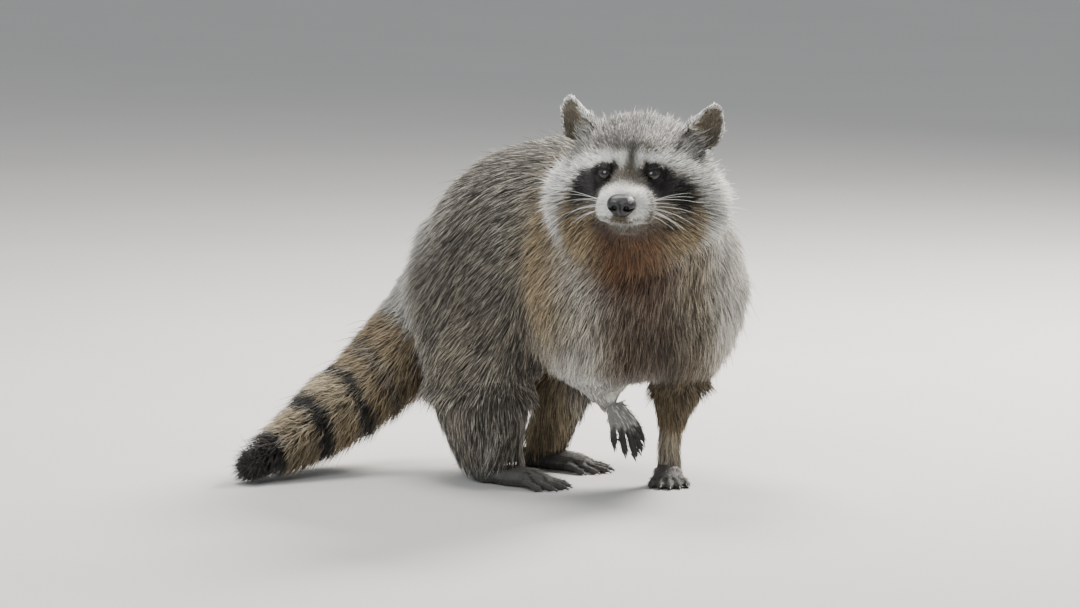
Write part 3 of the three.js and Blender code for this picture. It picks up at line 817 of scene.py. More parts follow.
class Wire:
    """A value in a finish. Arithmetic on it adds the Math nodes."""

    def __init__(self, finish, socket):
        self.finish = finish
        self.socket = socket

    def math(self, operation, other=None, swapped=False):
        pair = [self] if other is None else ([other, self] if swapped else [self, other])
        return self.finish.add("Math", {"operation": operation}, dict(enumerate(pair)))

    def __add__(self, other):
        return self.math("ADD", other)

    def __sub__(self, other):
        return self.math("SUBTRACT", other)

    def __mul__(self, other):
        return self.math("MULTIPLY", other)

    def __rsub__(self, other):
        return self.math("SUBTRACT", other, swapped=True)

    __radd__ = __add__
    __rmul__ = __mul__

    def between(self, low, high):
        """0 below low and 1 above high, smooth between."""
        ends = {"Value": self, "From Min": low, "From Max": high}
        return self.finish.add("MapRange", {"interpolation_type": "SMOOTHSTEP"}, ends)

    def to(self, low, high):
        """Takes 0 to 1 on to low to high."""
        return self * (high - low) + low


class Finish:
    """A material, built up node by node."""

    def __init__(self, name):
        self.material = bpy.data.materials.new(name)
        self.material.use_nodes = True
        self.tree = self.material.node_tree
        self.tree.nodes.clear()

    def add(self, kind, settings=None, sockets=None, output=0):
        node = self.tree.nodes.new("ShaderNode" + kind)
        for key, value in (settings or {}).items():
            setattr(node, key, value)
        for key, value in (sockets or {}).items():
            if isinstance(value, Wire):
                self.tree.links.new(value.socket, node.inputs[key])
            else:
                node.inputs[key].default_value = value
        return Wire(self, node.outputs[output])

    def attribute(self, name, output=0):
        return self.add("Attribute", {"attribute_name": name}, output=output)

    def parts(self, name):
        """The three numbers and the alpha of a stored colour."""
        stored = self.attribute(name)
        split = self.add("SeparateColor", {}, {"Color": stored})
        numbers = [Wire(self, split.socket.node.outputs[i]) for i in range(3)]
        return numbers + [Wire(self, stored.socket.node.outputs["Alpha"])]

    def where(self):
        return self.add("TexCoord", output="Object")

    def noise(self, scale, detail):
        sockets = {"Vector": self.where(), "Scale": scale, "Detail": detail, "Roughness": 0.55}
        return self.add("TexNoise", {}, sockets)

    def cells(self, scale):
        """0 along the edges of small cells and more towards their middles."""
        sockets = {"Vector": self.where(), "Scale": scale}
        return self.add("TexVoronoi", {"feature": "DISTANCE_TO_EDGE"}, sockets)

    def mix(self, base, over, share):
        """One colour laid over another."""
        sockets = {0: share, 6: base, 7: over}
        return self.add("Mix", {"data_type": "RGBA"}, sockets, output=2)

    def lit(self, colour, gain):
        """A colour made darker or lighter by a number."""
        sockets = {0: colour, "Scale": gain}
        return self.add("VectorMath", {"operation": "SCALE"}, sockets)

    def raised(self, height, strength, distance):
        sockets = {"Strength": strength, "Distance": distance, "Height": height}
        return self.add("Bump", {}, sockets)

    def surface(self, **sockets):
        named = {}
        for key, value in sockets.items():
            named[key.replace("_", " ").title().replace("Ior", "IOR")] = value
        end = self.tree.nodes.new("ShaderNodeOutputMaterial")
        self.tree.links.new(self.add("BsdfPrincipled", {}, named).socket, end.inputs["Surface"])
        return self.material


def shade(red, green, blue):
    return (red, green, blue, 1.0)


UNDERCOAT = shade(0.029, 0.024, 0.018)
STRAW = shade(0.22, 0.20, 0.16)
PALE_TIP = shade(0.51, 0.505, 0.47)
DARK_TIP = shade(0.018, 0.016, 0.015)
WHITE = shade(0.84, 0.83, 0.79)
BLACK = shade(0.012, 0.010, 0.010)
RUST = shade(0.108, 0.047, 0.018)
TAN = shade(0.195, 0.132, 0.060)
HONEY = shade(0.48, 0.375, 0.22)
GREY = shade(0.066, 0.064, 0.062)


def coat_finish(name, streak, roughness):
    """Hair banded from a dark root to a pale middle and a dark or frosted tip, under the markings."""
    f = Finish(name)
    white, black, rust, tan = f.parts("marks")
    along, luck, guard, grey = f.parts("lock")
    mottle = f.noise(55.0, 3.0)
    fine = f.noise(streak, 2.0)
    middle = f.mix(STRAW, TAN, tan * 0.8)
    middle = f.mix(middle, GREY, grey * mottle.to(0.55, 1.0))
    middle = f.mix(middle, RUST, rust)
    middle = f.lit(middle, guard.between(0.0, 0.9).to(0.62, 1.1))
    hair = f.mix(UNDERCOAT, middle, along.between(0.10, 0.42))
    pale = f.mix(PALE_TIP, HONEY, tan)
    tip = f.mix(DARK_TIP, pale, (luck + tan * 0.3).between(0.64, 0.72))
    tip = f.mix(tip, RUST, rust * 0.75)
    hair = f.mix(hair, tip, along.between(0.58, 0.78) * guard)
    snow = f.mix(WHITE, HONEY, tan.between(0.5, 1.0) * 0.85)
    snow = f.mix(STRAW, snow, along.between(0.0, 0.35))
    hair = f.mix(hair, snow, white)
    hair = f.mix(hair, BLACK, black)
    contrast = guard.between(0.0, 0.3)
    hair = f.lit(hair, (luck.to(-0.5, 0.5) * contrast.to(0.5, 1.3) + 1.0) * fine.to(0.7, 1.3))
    bumpy = f.raised(fine, 0.35, 0.0004)
    rough = fine.to(roughness - 0.08, roughness + 0.1)
    return f.surface(
        base_color=hair,
        roughness=rough,
        normal=bumpy,
        specular_ior_level=0.35,
        sheen_weight=0.12,
        sheen_roughness=0.45,
    )


def skin_finish():
    """The hide under the coat: dusky, with the same markings in short hair where the coat is short."""
    f = Finish("hide")
    white, black, rust, tan = f.parts("marks")
    cover, rims, bare, grey = f.parts("lock")
    mottle = f.noise(90.0, 4.0)
    short = f.noise(900.0, 3.0)
    creases = f.cells(330.0)
    ground = f.mix(STRAW, TAN, tan)
    ground = f.mix(ground, GREY, grey * 0.8)
    ground = f.mix(ground, RUST, rust)
    ground = f.mix(ground, WHITE, white)
    ground = f.mix(ground, BLACK, black)
    leather = f.mix(shade(0.060, 0.058, 0.057), shade(0.150, 0.145, 0.136), mottle)
    leather = f.mix(leather, shade(0.012, 0.011, 0.011), black)
    leather = f.mix(leather, shade(0.006, 0.005, 0.005), rims)
    ground = f.mix(ground, leather, bare)
    ground = f.mix(ground, UNDERCOAT, cover * (white * -0.8 + 1.0))
    ground = f.lit(ground, short.to(0.65, 1.25))
    height = short * (1 - bare) + creases.between(0.0, 0.12) * bare * 1.5
    bumpy = f.raised(height, 0.5, 0.0006)
    return f.surface(base_color=ground, roughness=mottle.to(0.5, 0.75), normal=bumpy, specular_ior_level=0.3)


# ------------------------------------------------------------------------------- fields on the skin


class Hide:
    """The finished skin and everything that its coat needs to know about it."""

    def __init__(self, made):
        self.object = made
        mesh = made.data
        self.points = points_of(mesh)
        self.normals = normals_of(mesh)
        self.edges = edges_of(mesh)
        loops = np.empty(len(mesh.loops), dtype=np.int32)
        mesh.loops.foreach_get("vertex_index", loops)
        self.faces = loops.reshape(-1, 3)
        self.local = head.local(self.points)
        rows, self.owner = nearest_rules(self.points)
        rows = head_rules(self.local, self.owner, hem_rules(self.points, self.owner, rows))
        families = np.array([part_of(name) for name in self.owner])
        kinds = ("head", "ear", "tail", "paw", "body")
        shares = np.stack([families == kind for kind in kinds], 1).astype(float)
        self.depth = spread(rows[:, 0], self.edges, 25)
        self.length = spread(rows[:, 1], self.edges, 25)
        lie = spread(rows[:, 3:], self.edges, 45)
        lie -= self.normals * np.sum(lie * self.normals, 1)[:, None]
        self.lie = unit(lie)
        blended = spread(shares, self.edges, 8)
        self.shares = dict(zip(kinds, blended.T))
        self.face_front = 1 - from_the_face(self.local)

    def dress(self):
        """Stores the markings on the skin, and how much coat covers it."""
        marks = markings(self.points, self.normals, self.shares)
        cover = ramp(2.5, 8.0, self.depth) * 0.85
        bare = np.clip(self.shares["paw"] * 1.2, 0, 1) * ramp(0.8, 0.3, marks[:, 0])
        rims = lid_rims(self.local)
        bare = np.maximum(bare, rims)
        store(self.object.data, "marks", marks[:, :4])
        store(self.object.data, "lock", np.stack([cover, rims, bare, marks[:, 4]], 1))


def store(mesh, name, values):
    """Four numbers at every vertex, as a stored colour."""
    layer = mesh.attributes.new(name, "FLOAT_COLOR", "POINT")
    layer.data.foreach_set("color", np.ascontiguousarray(values, dtype=np.float32).ravel())


def lid_rims(local):
    """1 along the bare rims of the lids and in the opening."""
    rims = np.zeros(len(local))
    for side in EYES:
        eye = Eye(side)
        reach = np.linalg.norm(local - eye.centre, axis=1)
        close = (reach < 10.5) & (eye.seen(local)[2] > 0)
        rims = np.maximum(rims, close * ramp(1.7, 1.0, eye.outside(local)))
    return rims


# ------------------------------------------------------------------------------- the coat


def triangle_mesh(name, points, faces):
    """A smooth mesh of triangles, made from arrays."""
    mesh = bpy.data.meshes.new(name)
    mesh.vertices.add(len(points))
    mesh.vertices.foreach_set("co", points.astype(np.float32).ravel())
    mesh.loops.add(faces.size)
    mesh.loops.foreach_set("vertex_index", faces.astype(np.int32).ravel())
    mesh.polygons.add(len(faces))
    mesh.polygons.foreach_set("loop_start", np.arange(0, faces.size, 3, dtype=np.int32))
    mesh.polygons.foreach_set("use_smooth", np.ones(len(faces), dtype=bool))
    mesh.update(calc_edges=True)
    return mesh


def scatter(hide, chosen, count):
    """Evenly spaced places on the chosen faces, as a face and the weights of its three corners."""
    faces = hide.faces[chosen]
    a, b, c = (hide.points[faces[:, k]] for k in range(3))
    weight = np.linalg.norm(np.cross(b - a, c - a), axis=1)
    crowd = 1 / np.maximum(hide.length[faces].mean(1), 3.0) ** 0.9
    total = np.cumsum(weight * crowd)
    picks = (np.arange(count) + chance.uniform(0, 1, count)) / count * total[-1]
    face = faces[np.minimum(np.searchsorted(total, picks), len(faces) - 1)]
    u, v = chance.uniform(0, 1, (2, count))
    over = u + v > 1
    u, v = np.where(over, 1 - u, u), np.where(over, 1 - v, v)
    return face, np.stack([1 - u - v, u, v], 1)


def carried(values, face, weights):
    """A value stored at the vertices, read at places on the faces."""
    picked = values[face]
    shape = weights if picked.ndim == 2 else weights[:, :, None]
    return (picked * shape).sum(1)


def clumped(roots, tips, size, pull):
    """Tips drawn together towards the middle of each clump, and how far from it each root grows."""
    warped = roots + 0.35 * size * np.stack([wobble(roots, size * 2.2, 20 + k) for k in range(3)], 1)
    cell = np.floor(warped / size).astype(np.int64)
    _, label = np.unique(cell @ [1, 4001, 4001 * 4001], return_inverse=True)
    label = label.ravel()
    count = np.bincount(label)

    def middles(points):
        return np.stack([np.bincount(label, points[:, k]) / count for k in range(3)], 1)[label]

    off = np.linalg.norm(roots - middles(roots), axis=1) / size
    return tips + (middles(tips) - tips) * pull[:, None], off


@dataclass
class Cut:
    """How one stretch of coat is cut: the rings of each tuft, its width and how it stands."""

    wide: float
    clump: float
    pull: float
    stray: float = 0.16
    stand: float = 1.0
    loose: float = 0.0
    stops: tuple = (0.0, 0.5)


LONG = Cut(wide=0.85, clump=6.0, pull=0.34, stray=0.2, loose=0.02)
SHAGGY = Cut(wide=0.85, clump=9.0, pull=0.42, stray=0.24, loose=0.03)
RUFF = Cut(wide=0.62, clump=4.5, pull=0.28, loose=0.10)
TAIL = Cut(wide=0.85, stand=1.25, clump=7.0, pull=0.22, stray=0.24, loose=0.03)
LEGS = Cut(wide=0.85, clump=5.0, pull=0.3)
SHORT = Cut(wide=0.75, clump=3.0, pull=0.22, stray=0.12)


def tuft_lines(hide, face, weights, cut, rings):
    """The middle of every tuft at each ring, with its own up, length and chances."""
    roots = carried(hide.points, face, weights)
    up = unit(carried(hide.normals, face, weights))
    lie = unit(carried(hide.lie, face, weights))
    depth = carried(hide.depth, face, weights) * MM
    count = len(roots)
    guard = (chance.uniform(0, 1, count) < 0.42).astype(float)
    long = carried(hide.length, face, weights) * MM * np.where(guard, 1.12, 0.9)
    long *= chance.uniform(0.66, 1.16, count)
    stray = chance.normal(0, cut.stray, (count, 3))
    swirl = 0.28 * np.stack([wobble(roots, 0.035, 30 + k) for k in range(3)], 1)
    lie = lie + stray + swirl
    lie = unit(lie - up * np.sum(lie * up, 1)[:, None])
    depth = np.maximum(depth, 0.0008)
    rise = depth * chance.uniform(0.8, 1.2, count) * cut.stand * np.where(guard, 1.06, 0.95) + 0.0006
    rise = np.minimum(rise, 0.75 * long)
    flat = np.sqrt(long**2 - rise**2)
    tips = roots + lie * flat[:, None] + up * rise[:, None]
    tips[:, 2] -= 0.10 * long * ramp(0.012, 0.03, long)
    loose = chance.uniform(0, 1, count) < cut.loose
    tips += (up * 0.3 + lie * 0.1) * (long * loose * chance.uniform(0.3, 1.0, count))[:, None]
    pull = cut.pull * chance.uniform(0.5, 1.3, count) * ~loose
    tips, off = clumped(roots, tips, cut.clump * MM, pull)
    # Painted shade: tufts rooted far from their clump's middle are marked, to come out darker between the
    # locks.
    lock_gap_shade = ramp(0.25, 0.6, off) * ~loose
    tips[:, 2] = np.maximum(tips[:, 2], 0.002)
    t = rings[None, :, None]
    bow = (up * rise[:, None] * 0.55)[:, None] * (t * (1 - t)) * 2
    lines = roots[:, None] * (1 - t) + tips[:, None] * t + bow
    lines -= (up * np.minimum(depth, 0.0012)[:, None])[:, None] * (1 - t)
    return lines, up, long, guard, lock_gap_shade


def coat_piece(name, hide, chosen, count, cut, material):
    """Thousands of tufts over the chosen faces, as one mesh."""
    face, weights = scatter(hide, chosen, count)
    rings = np.array([*cut.stops, 1.0])
    lines, up, long, guard, lock_gap_shade = tuft_lines(hide, face, weights, cut, rings)
    ahead = unit(np.gradient(lines, axis=1))
    side = unit(np.cross(ahead, up[:, None]))
    over = np.cross(side, ahead)
    width = cut.wide * MM * chance.uniform(0.6, 1.25, count) * np.where(guard, 0.75, 1.2)
    width = np.minimum(width, 0.16 * long)
    body = len(cut.stops)
    slim = np.array([0.85, 1.0])
    half = width[:, None] * slim / 2
    angles = np.radians([90, 210, 330])
    corners = []
    outward = []
    for angle in angles:
        push = side[:, :body] * np.cos(angle) + over[:, :body] * 0.7 * np.sin(angle)
        corners.append(lines[:, :body] + push * half[:, :, None])
        outward.append(push)
    ring_points = np.stack(corners, 2).reshape(count, body * 3, 3)
    ring_ways = np.stack(outward, 2).reshape(count, body * 3, 3)
    points = np.concatenate([ring_points, lines[:, -1:]], 1)
    ways = np.concatenate([ring_ways, ahead[:, -1:]], 1)
    per = body * 3 + 1
    pattern = tuft_faces(body)
    faces = (pattern[None] + per * np.arange(count)[:, None, None]).reshape(-1, 3)
    mesh = triangle_mesh(name, points.reshape(-1, 3), faces)
    along = np.repeat([*cut.stops, 1.0], [3] * body + [1])
    dress_tufts(mesh, hide, face, weights, lines, long, guard, lock_gap_shade, along)
    normals = unit(ways * 0.5 + up[:, None] * 0.75).reshape(-1, 3)
    patch_map(mesh, hide, chosen, face, weights, body, per)
    mesh.normals_split_custom_set_from_vertices(normals.astype(np.float32))
    made = add_object(name, mesh)
    mesh.materials.append(material)
    return made


def tuft_faces(body):
    """The triangles of one tuft: its root, its sides and its tip."""
    faces = [(0, 1, 2)]
    for ring in range(body - 1):
        for k in range(3):
            a, b = 3 * ring + k, 3 * ring + (k + 1) % 3
            faces += [(b, a, b + 3), (b + 3, a, a + 3)]
    last = 3 * (body - 1)
    faces += [(last + (k + 1) % 3, last + k, last + 3) for k in range(3)]
    return np.array(faces)


def dress_tufts(mesh, hide, face, weights, lines, long, guard, lock_gap_shade, along):
    """Stores the markings where each tuft shows, and its place along the hair."""
    up = unit(carried(hide.normals, face, weights))
    shown = lines[:, 0] * 0.45 + lines[:, -1] * 0.55
    shares = {kind: carried(share, face, weights) for kind, share in hide.shares.items()}
    short = ramp(16, 9, long / MM)[:, None]
    places = shown * (1 - short) + lines[:, 0] * short
    places = places + chance.normal(0, 1, places.shape) * (0.0004 + 0.08 * long)[:, None]
    marks = markings(places, up, shares)
    count, per = len(face), len(along)
    # Painted shade: tufts at the edges of clumps get less luck, so they come out darker in the gaps between
    # locks.
    luck = chance.uniform(0, 1, count) + 0.2 * wobble(lines[:, 0], 0.009, 8) - 0.45 * (lock_gap_shade - 0.35)
    luck = np.clip(luck, 0, 1)
    amount = np.where(guard, 1.0, 0.35) * ramp(3.0, 8, long / MM)
    lock = np.stack([0 * luck, luck, amount, marks[:, 4]], 1)
    lock = np.repeat(lock, per, 0)
    lock[:, 0] = np.maximum(np.tile(along, count), np.repeat(0.42 * ramp(11, 6, long / MM), per))
    store(mesh, "marks", np.repeat(marks[:, :4], per, 0))
    store(mesh, "lock", lock)


def chart_of(hide, chosen):
    """An unwrap of the chosen part of the skin: each vertex's place on a square map, face by face."""
    faces = hide.faces[chosen]
    used, flat = np.unique(faces, return_inverse=True)
    mesh = triangle_mesh("chart", hide.points[used], flat.reshape(-1, 3))
    thing = add_object("chart", mesh)
    mesh.uv_layers.new(name="OFBake")
    bpy.ops.object.select_all(action="DESELECT")
    thing.select_set(True)
    bpy.context.view_layer.objects.active = thing
    bpy.ops.object.mode_set(mode="EDIT")
    bpy.ops.mesh.select_all(action="SELECT")
    bpy.ops.uv.smart_project(angle_limit=1.2, island_margin=0.004)
    bpy.ops.object.mode_set(mode="OBJECT")
    places = np.empty(len(mesh.loops) * 2, dtype=np.float32)
    mesh.uv_layers["OFBake"].data.foreach_get("uv", places)
    bpy.data.objects.remove(thing)
    bpy.data.meshes.remove(mesh)
    return places.reshape(-1, 3, 2).astype(float)


def patch_map(mesh, hide, chosen, face, weights, body, per):
    """OFBake: every tuft is a small patch at its root's place on the unwrapped skin."""
    charts = chart_of(hide, chosen)
    order = {tuple(corners): index for index, corners in enumerate(hide.faces[chosen].tolist())}
    index = np.array([order[tuple(corners)] for corners in face.tolist()])
    root = (charts[index] * weights[:, :, None]).sum(1)
    around = np.arange(per) % 3 / 3
    out = np.repeat(np.arange(body + 1) / body, [3] * body + [1])
    patch = np.stack([around * 0.003, out * 0.003], 1) - 0.0015
    places = (root[:, None] + patch[None]).reshape(-1, 2)
    corner = np.empty(len(mesh.loops), dtype=np.int32)
    mesh.loops.foreach_get("vertex_index", corner)
    layer = mesh.uv_layers.new(name="OFBake")
    layer.data.foreach_set("uv", places[corner].astype(np.float32).ravel())


def chosen_faces(hide, wanted):
    """The faces whose first corner is wanted."""
    return np.flatnonzero(wanted[hide.faces[:, 0]])


def make_coat(hide):
    """Every piece of the coat."""
    owner = hide.owner
    long_hair = coat_finish("grizzled coat", 1400.0, 0.62)
    short_hair = coat_finish("face coat", 2200.0, 0.66)
    heads = (owner == "head") | np.char.startswith(owner, "ear")
    front = heads & ((hide.face_front > 0.45) | np.char.startswith(owner, "ear"))
    legs = np.char.startswith(owner, "shin") | np.char.startswith(owner, "forearm")
    paws = np.char.find(owner, "paw") > 0
    keep_off = lid_rims(hide.local) > 0.2
    in_eye = np.minimum(*(Eye(side).outside(hide.local) for side in EYES)) < 1.3
    front &= ~(keep_off | (in_eye & near_the_eyes(hide.points, 12)))
    plan = {
        "coat_face": (front, 19500, SHORT, short_hair, "face_coat"),
        "coat_head": (heads & ~front & ~keep_off, 19000, RUFF, long_hair, "face_coat"),
        "coat_chest": ((owner == "chest") | (owner == "neck"), 19000, SHAGGY, long_hair, "body_coat"),
        "coat_shoulders": (np.char.startswith(owner, "shoulder"), 14000, SHAGGY, long_hair, "body_coat"),
        "coat_flanks": (owner == "belly", 18500, LONG, long_hair, "body_coat"),
        "coat_rump": (owner == "rump", 17000, LONG, long_hair, "body_coat"),
        "coat_thighs": (np.char.startswith(owner, "thigh"), 13500, LONG, long_hair, "body_coat"),
        "coat_tail": (np.char.startswith(owner, "tail"), 14000, TAIL, long_hair, "tail_coat"),
        "coat_legs": (legs, 11000, LEGS, long_hair, "body_coat"),
        "coat_paws": (paws, 4000, SHORT, short_hair, "paw_skin"),
    }
    made = []
    for name, (wanted, count, cut, material, slot) in plan.items():
        chosen = chosen_faces(hide, wanted)
        count = count
        piece = coat_piece(name, hide, chosen, count, cut, material)
        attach(piece, "root")
        made.append(piece)
    return made


# ------------------------------------------------------------------------------- eyes and nose


def turned_ball(rings, around):
    """A ball of unit radius with its pole along -y, as directions and faces."""
    points = [(0.0, -1.0, 0.0)]
    for ring in range(1, rings):
        lean = np.pi * ring / rings
        for step in range(around):
            turn = 2 * np.pi * step / around
            points.append((np.sin(lean) * np.cos(turn), -np.cos(lean), np.sin(lean) * np.sin(turn)))
    points.append((0.0, 1.0, 0.0))
    faces = []
    last = len(points) - 1
    for step in range(around):
        after = (step + 1) % around
        faces.append((0, 1 + step, 1 + after))
        faces.append((last, last - around + after, last - around + step))
        for ring in range(rings - 2):
            a, b = 1 + ring * around, 1 + (ring + 1) * around
            faces.append((a + step, b + step, b + after))
            faces.append((a + step, b + after, a + after))
    return np.array(points), np.array(faces)


def eye_finish():
    """A black pupil in a dark brown iris, with one glossy coat over the whole ball."""
    f = Finish("eyeball")
    off = f.attribute("off_axis", output=2)
    spokes = f.noise(1500.0, 3.0)
    iris = f.mix(shade(0.016, 0.008, 0.005), shade(0.050, 0.026, 0.013), spokes)
    iris = f.mix(shade(0.003, 0.003, 0.004), iris, off.between(2.9, 3.3))
    rim = f.mix(iris, shade(0.006, 0.005, 0.005), off.between(4.3, 5.0))
    white = f.mix(rim, shade(0.03, 0.024, 0.022), off.between(5.3, 5.9))
    return f.surface(
        base_color=white, roughness=0.2, coat_weight=0.7, coat_roughness=0.03, specular_ior_level=0.4
    )


def make_eye(side, material):
    eye = Eye(side)
    ways, faces = turned_ball(40, 64)
    cornea = 0.55 * ramp(5.4, 2.5, np.hypot(ways[:, 0], ways[:, 2]) * eye.BALL)
    radius = eye.BALL * (1 + cornea * 0.07 * (ways[:, 1] < 0))
    axis = -eye.ahead
    across = eye.across * eye.sign
    turned = ways[:, [0]] * across + ways[:, [1]] * axis + ways[:, [2]] * np.cross(across, axis)
    local = eye.centre + turned * radius[:, None]
    mesh = triangle_mesh(f"eyeball_{side}", head.world(local), faces)
    off = np.hypot(ways[:, 0], ways[:, 2]) * eye.BALL + 20 * (ways[:, 1] > 0)
    mesh.attributes.new("off_axis", "FLOAT", "POINT").data.foreach_set("value", off.astype(np.float32))
    mesh.materials.append(material)
    made = add_object(mesh.name, mesh)
    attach(made, "root")
    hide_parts(EYES[side])


def nose_finish():
    """Moist black leather with a fine pebble."""
    f = Finish("nose leather")
    pebble = f.cells(1350.0).between(0.0, 0.28)
    mottle = f.noise(260.0, 3.0)
    pit = f.attribute("pit", output=2)
    tone = f.mix(shade(0.006, 0.006, 0.007), shade(0.016, 0.017, 0.020), mottle)
    # Painted shade: darker in the nostrils and along the middle groove.
    tone = f.mix(tone, shade(0.003, 0.002, 0.002), pit)
    return f.surface(
        base_color=tone,
        roughness=mottle.to(0.26, 0.42),
        normal=f.raised(pebble, 0.35, 0.0003),
        coat_weight=0.25,
        coat_roughness=0.16,
        specular_ior_level=0.42,
    )


def make_nose(material):
    """A broad pad with two comma-shaped nostrils and the groove between them."""
    ways, faces = turned_ball(56, 84)
    x, y, z = ways.T
    square = (np.abs(x) ** 2.5 + np.abs(y) ** 2.4 + np.abs(z) ** 2.5) ** (-1 / 2.45)
    x, y, z = x * square, y * square, z * square
    narrow = 1 - 0.26 * ramp(0.1, -1.0, z)
    wide, deep, high = 12.0, 8.6, 9.3
    px, py, pz = x * wide * narrow, y * deep, z * high
    py += 1.6 * ramp(0.2, 1.0, z) * (y < 0.2)
    py += 0.9 * ramp(0, -1, z)
    front = ramp(0.0, -0.5, y)
    pit = np.zeros(len(x))
    for s in (-1, 1):
        hole = np.hypot((px - s * 5.0) / 2.3, (pz + 1.6) / 2.1)
        slit = np.hypot((px - s * 8.6) / 3.2, (pz + 2.9 - 0.25 * (s * px - 8)) / 0.95)
        pit = np.maximum(pit, ramp(1.15, 0.55, np.minimum(hole, slit)))
        py -= 0.7 * bump(np.hypot(px - s * 5.2, pz + 1.0), 4.2, 1.2) * front
    pit *= front
    groove = bump(px, 0, 0.55) * ramp(2.5, -1.0, pz) * front
    py += 4.2 * pit + 1.0 * groove
    local = np.stack([px, py, pz], 1) + Head.NOSE
    mesh = triangle_mesh("nose_pad", head.world(local), faces)
    # Painted shade: the nostrils and the middle groove are stored as pit, to be darkened.
    dark = np.clip(pit * 1.2 + 0.5 * groove, 0, 1)
    mesh.attributes.new("pit", "FLOAT", "POINT").data.foreach_set("value", dark.astype(np.float32))
    mesh.materials.append(material)
    made = add_object("nose_pad", mesh)
    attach(made, "root")
    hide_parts("nose")


# ------------------------------------------------------------------------------- claws and whiskers


def tapered_rods(name, sides):
    """A node tree that runs a tapered rod along every path, as thick as each point says."""
    tree = bpy.data.node_groups.new(name, "GeometryNodeTree")
    face = tree.interface
    face.new_socket("Paths", in_out="INPUT", socket_type="NodeSocketGeometry")
    thick = face.new_socket("Thickness", in_out="INPUT", socket_type="NodeSocketFloat")
    thick.default_value = 1.0
    count = face.new_socket("Sides", in_out="INPUT", socket_type="NodeSocketInt")
    count.default_value = sides
    finish = face.new_socket("Finish", in_out="INPUT", socket_type="NodeSocketMaterial")
    face.new_socket("Rods", in_out="OUTPUT", socket_type="NodeSocketGeometry")

    def node(kind, **links):
        made = tree.nodes.new(kind)
        for key, socket in links.items():
            tree.links.new(socket, made.inputs[key.replace("_", " ")])
        return made

    given = node("NodeGroupInput")
    curve = node("GeometryNodeMeshToCurve", Mesh=given.outputs["Paths"])
    stored = tree.nodes.new("GeometryNodeInputNamedAttribute")
    stored.data_type = "FLOAT"
    stored.inputs["Name"].default_value = "thick"
    gain = tree.nodes.new("ShaderNodeMath")
    gain.operation = "MULTIPLY"
    tree.links.new(stored.outputs["Attribute"], gain.inputs[0])
    tree.links.new(given.outputs["Thickness"], gain.inputs[1])
    ring = node("GeometryNodeCurvePrimitiveCircle", Resolution=given.outputs["Sides"])
    ring.inputs["Radius"].default_value = MM
    line, outline = curve.outputs["Curve"], ring.outputs["Curve"]
    rods = node("GeometryNodeCurveToMesh", Curve=line, Profile_Curve=outline)
    tree.links.new(gain.outputs[0], rods.inputs["Scale"])
    rods.inputs["Fill Caps"].default_value = True
    whole = node("GeometryNodeRealizeInstances", Geometry=rods.outputs["Mesh"])
    plain, horn = whole.outputs["Geometry"], given.outputs["Finish"]
    coloured = node("GeometryNodeSetMaterial", Geometry=plain, Material=horn)
    end = tree.nodes.new("NodeGroupOutput")
    tree.links.new(coloured.outputs["Geometry"], end.inputs["Rods"])
    return tree, {"thick": thick.identifier, "sides": count.identifier, "finish": finish.identifier}


def rods_along(name, paths, thicks, material, thickness, sides):
    """Tapered rods along paths, as one plain mesh."""
    points = np.concatenate(paths)
    edges = []
    first = 0
    for path in paths:
        edges += [(first + k, first + k + 1) for k in range(len(path) - 1)]
        first += len(path)
    mesh = bpy.data.meshes.new(name)
    mesh.from_pydata(points.tolist(), edges, [])
    thick = np.concatenate(thicks).astype(np.float32)
    mesh.attributes.new("thick", "FLOAT", "POINT").data.foreach_set("value", thick)
    made = add_object(name, mesh)
    tree, sockets = tapered_rods(name + " rods", sides)
    rods = made.modifiers.new("rods", "NODES")
    rods.node_group = tree
    rods[sockets["thick"]] = thickness
    rods[sockets["sides"]] = sides
    rods[sockets["finish"]] = material
    with_modifiers(made)
    for face in made.data.polygons:
        face.use_smooth = True
    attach(made, "root")
    return made


def claw_paths(side, paw):
    shank = ("forearm_" if paw == "forepaw" else "shin_") + side
    wrist, toes = toe_tips(f"{paw}_{side}", shank)
    reach = 8.0 * MM
    paths, thicks = [], []
    t = np.linspace(0, 1, 7)
    for tip in toes:
        onwards = unit(tip - wrist)
        hanging = paw == "forepaw" and side == "right"
        onwards = unit(onwards * [1, 1, 1.0 if hanging else 0.2])
        root = tip - onwards * 8.5 * MM + np.array([0, 0, 0.0 if hanging else 2.2 * MM])
        path = root + onwards * (reach * t)[:, None]
        path[:, 2] += MM * (1.2 * t - 3.6 * t**2) * (0.4 if hanging else 1.0)
        path[:, 2] = np.maximum(path[:, 2], 0.6 * MM)
        paths.append(path)
        thicks.append(1.35 * (1 - t) ** 0.75 + 0.12)
    return paths, thicks


def make_claws():
    f = Finish("claw horn")
    grain = f.noise(700.0, 3.0)
    tone = f.mix(shade(0.028, 0.022, 0.018), shade(0.10, 0.08, 0.06), grain.between(0.45, 0.75))
    material = f.surface(
        base_color=tone,
        roughness=grain.to(0.28, 0.45),
        normal=f.raised(grain, 0.3, 0.0003),
        coat_weight=0.15,
    )
    paths, thicks = [], []
    for side in SIDEWAYS:
        for paw in ("forepaw", "hindpaw"):
            more = claw_paths(side, paw)
            paths += more[0]
            thicks += more[1]
    made = rods_along("claws", paths, thicks, material, 1.0, 8)


WHISKER_ROOT = 1.0


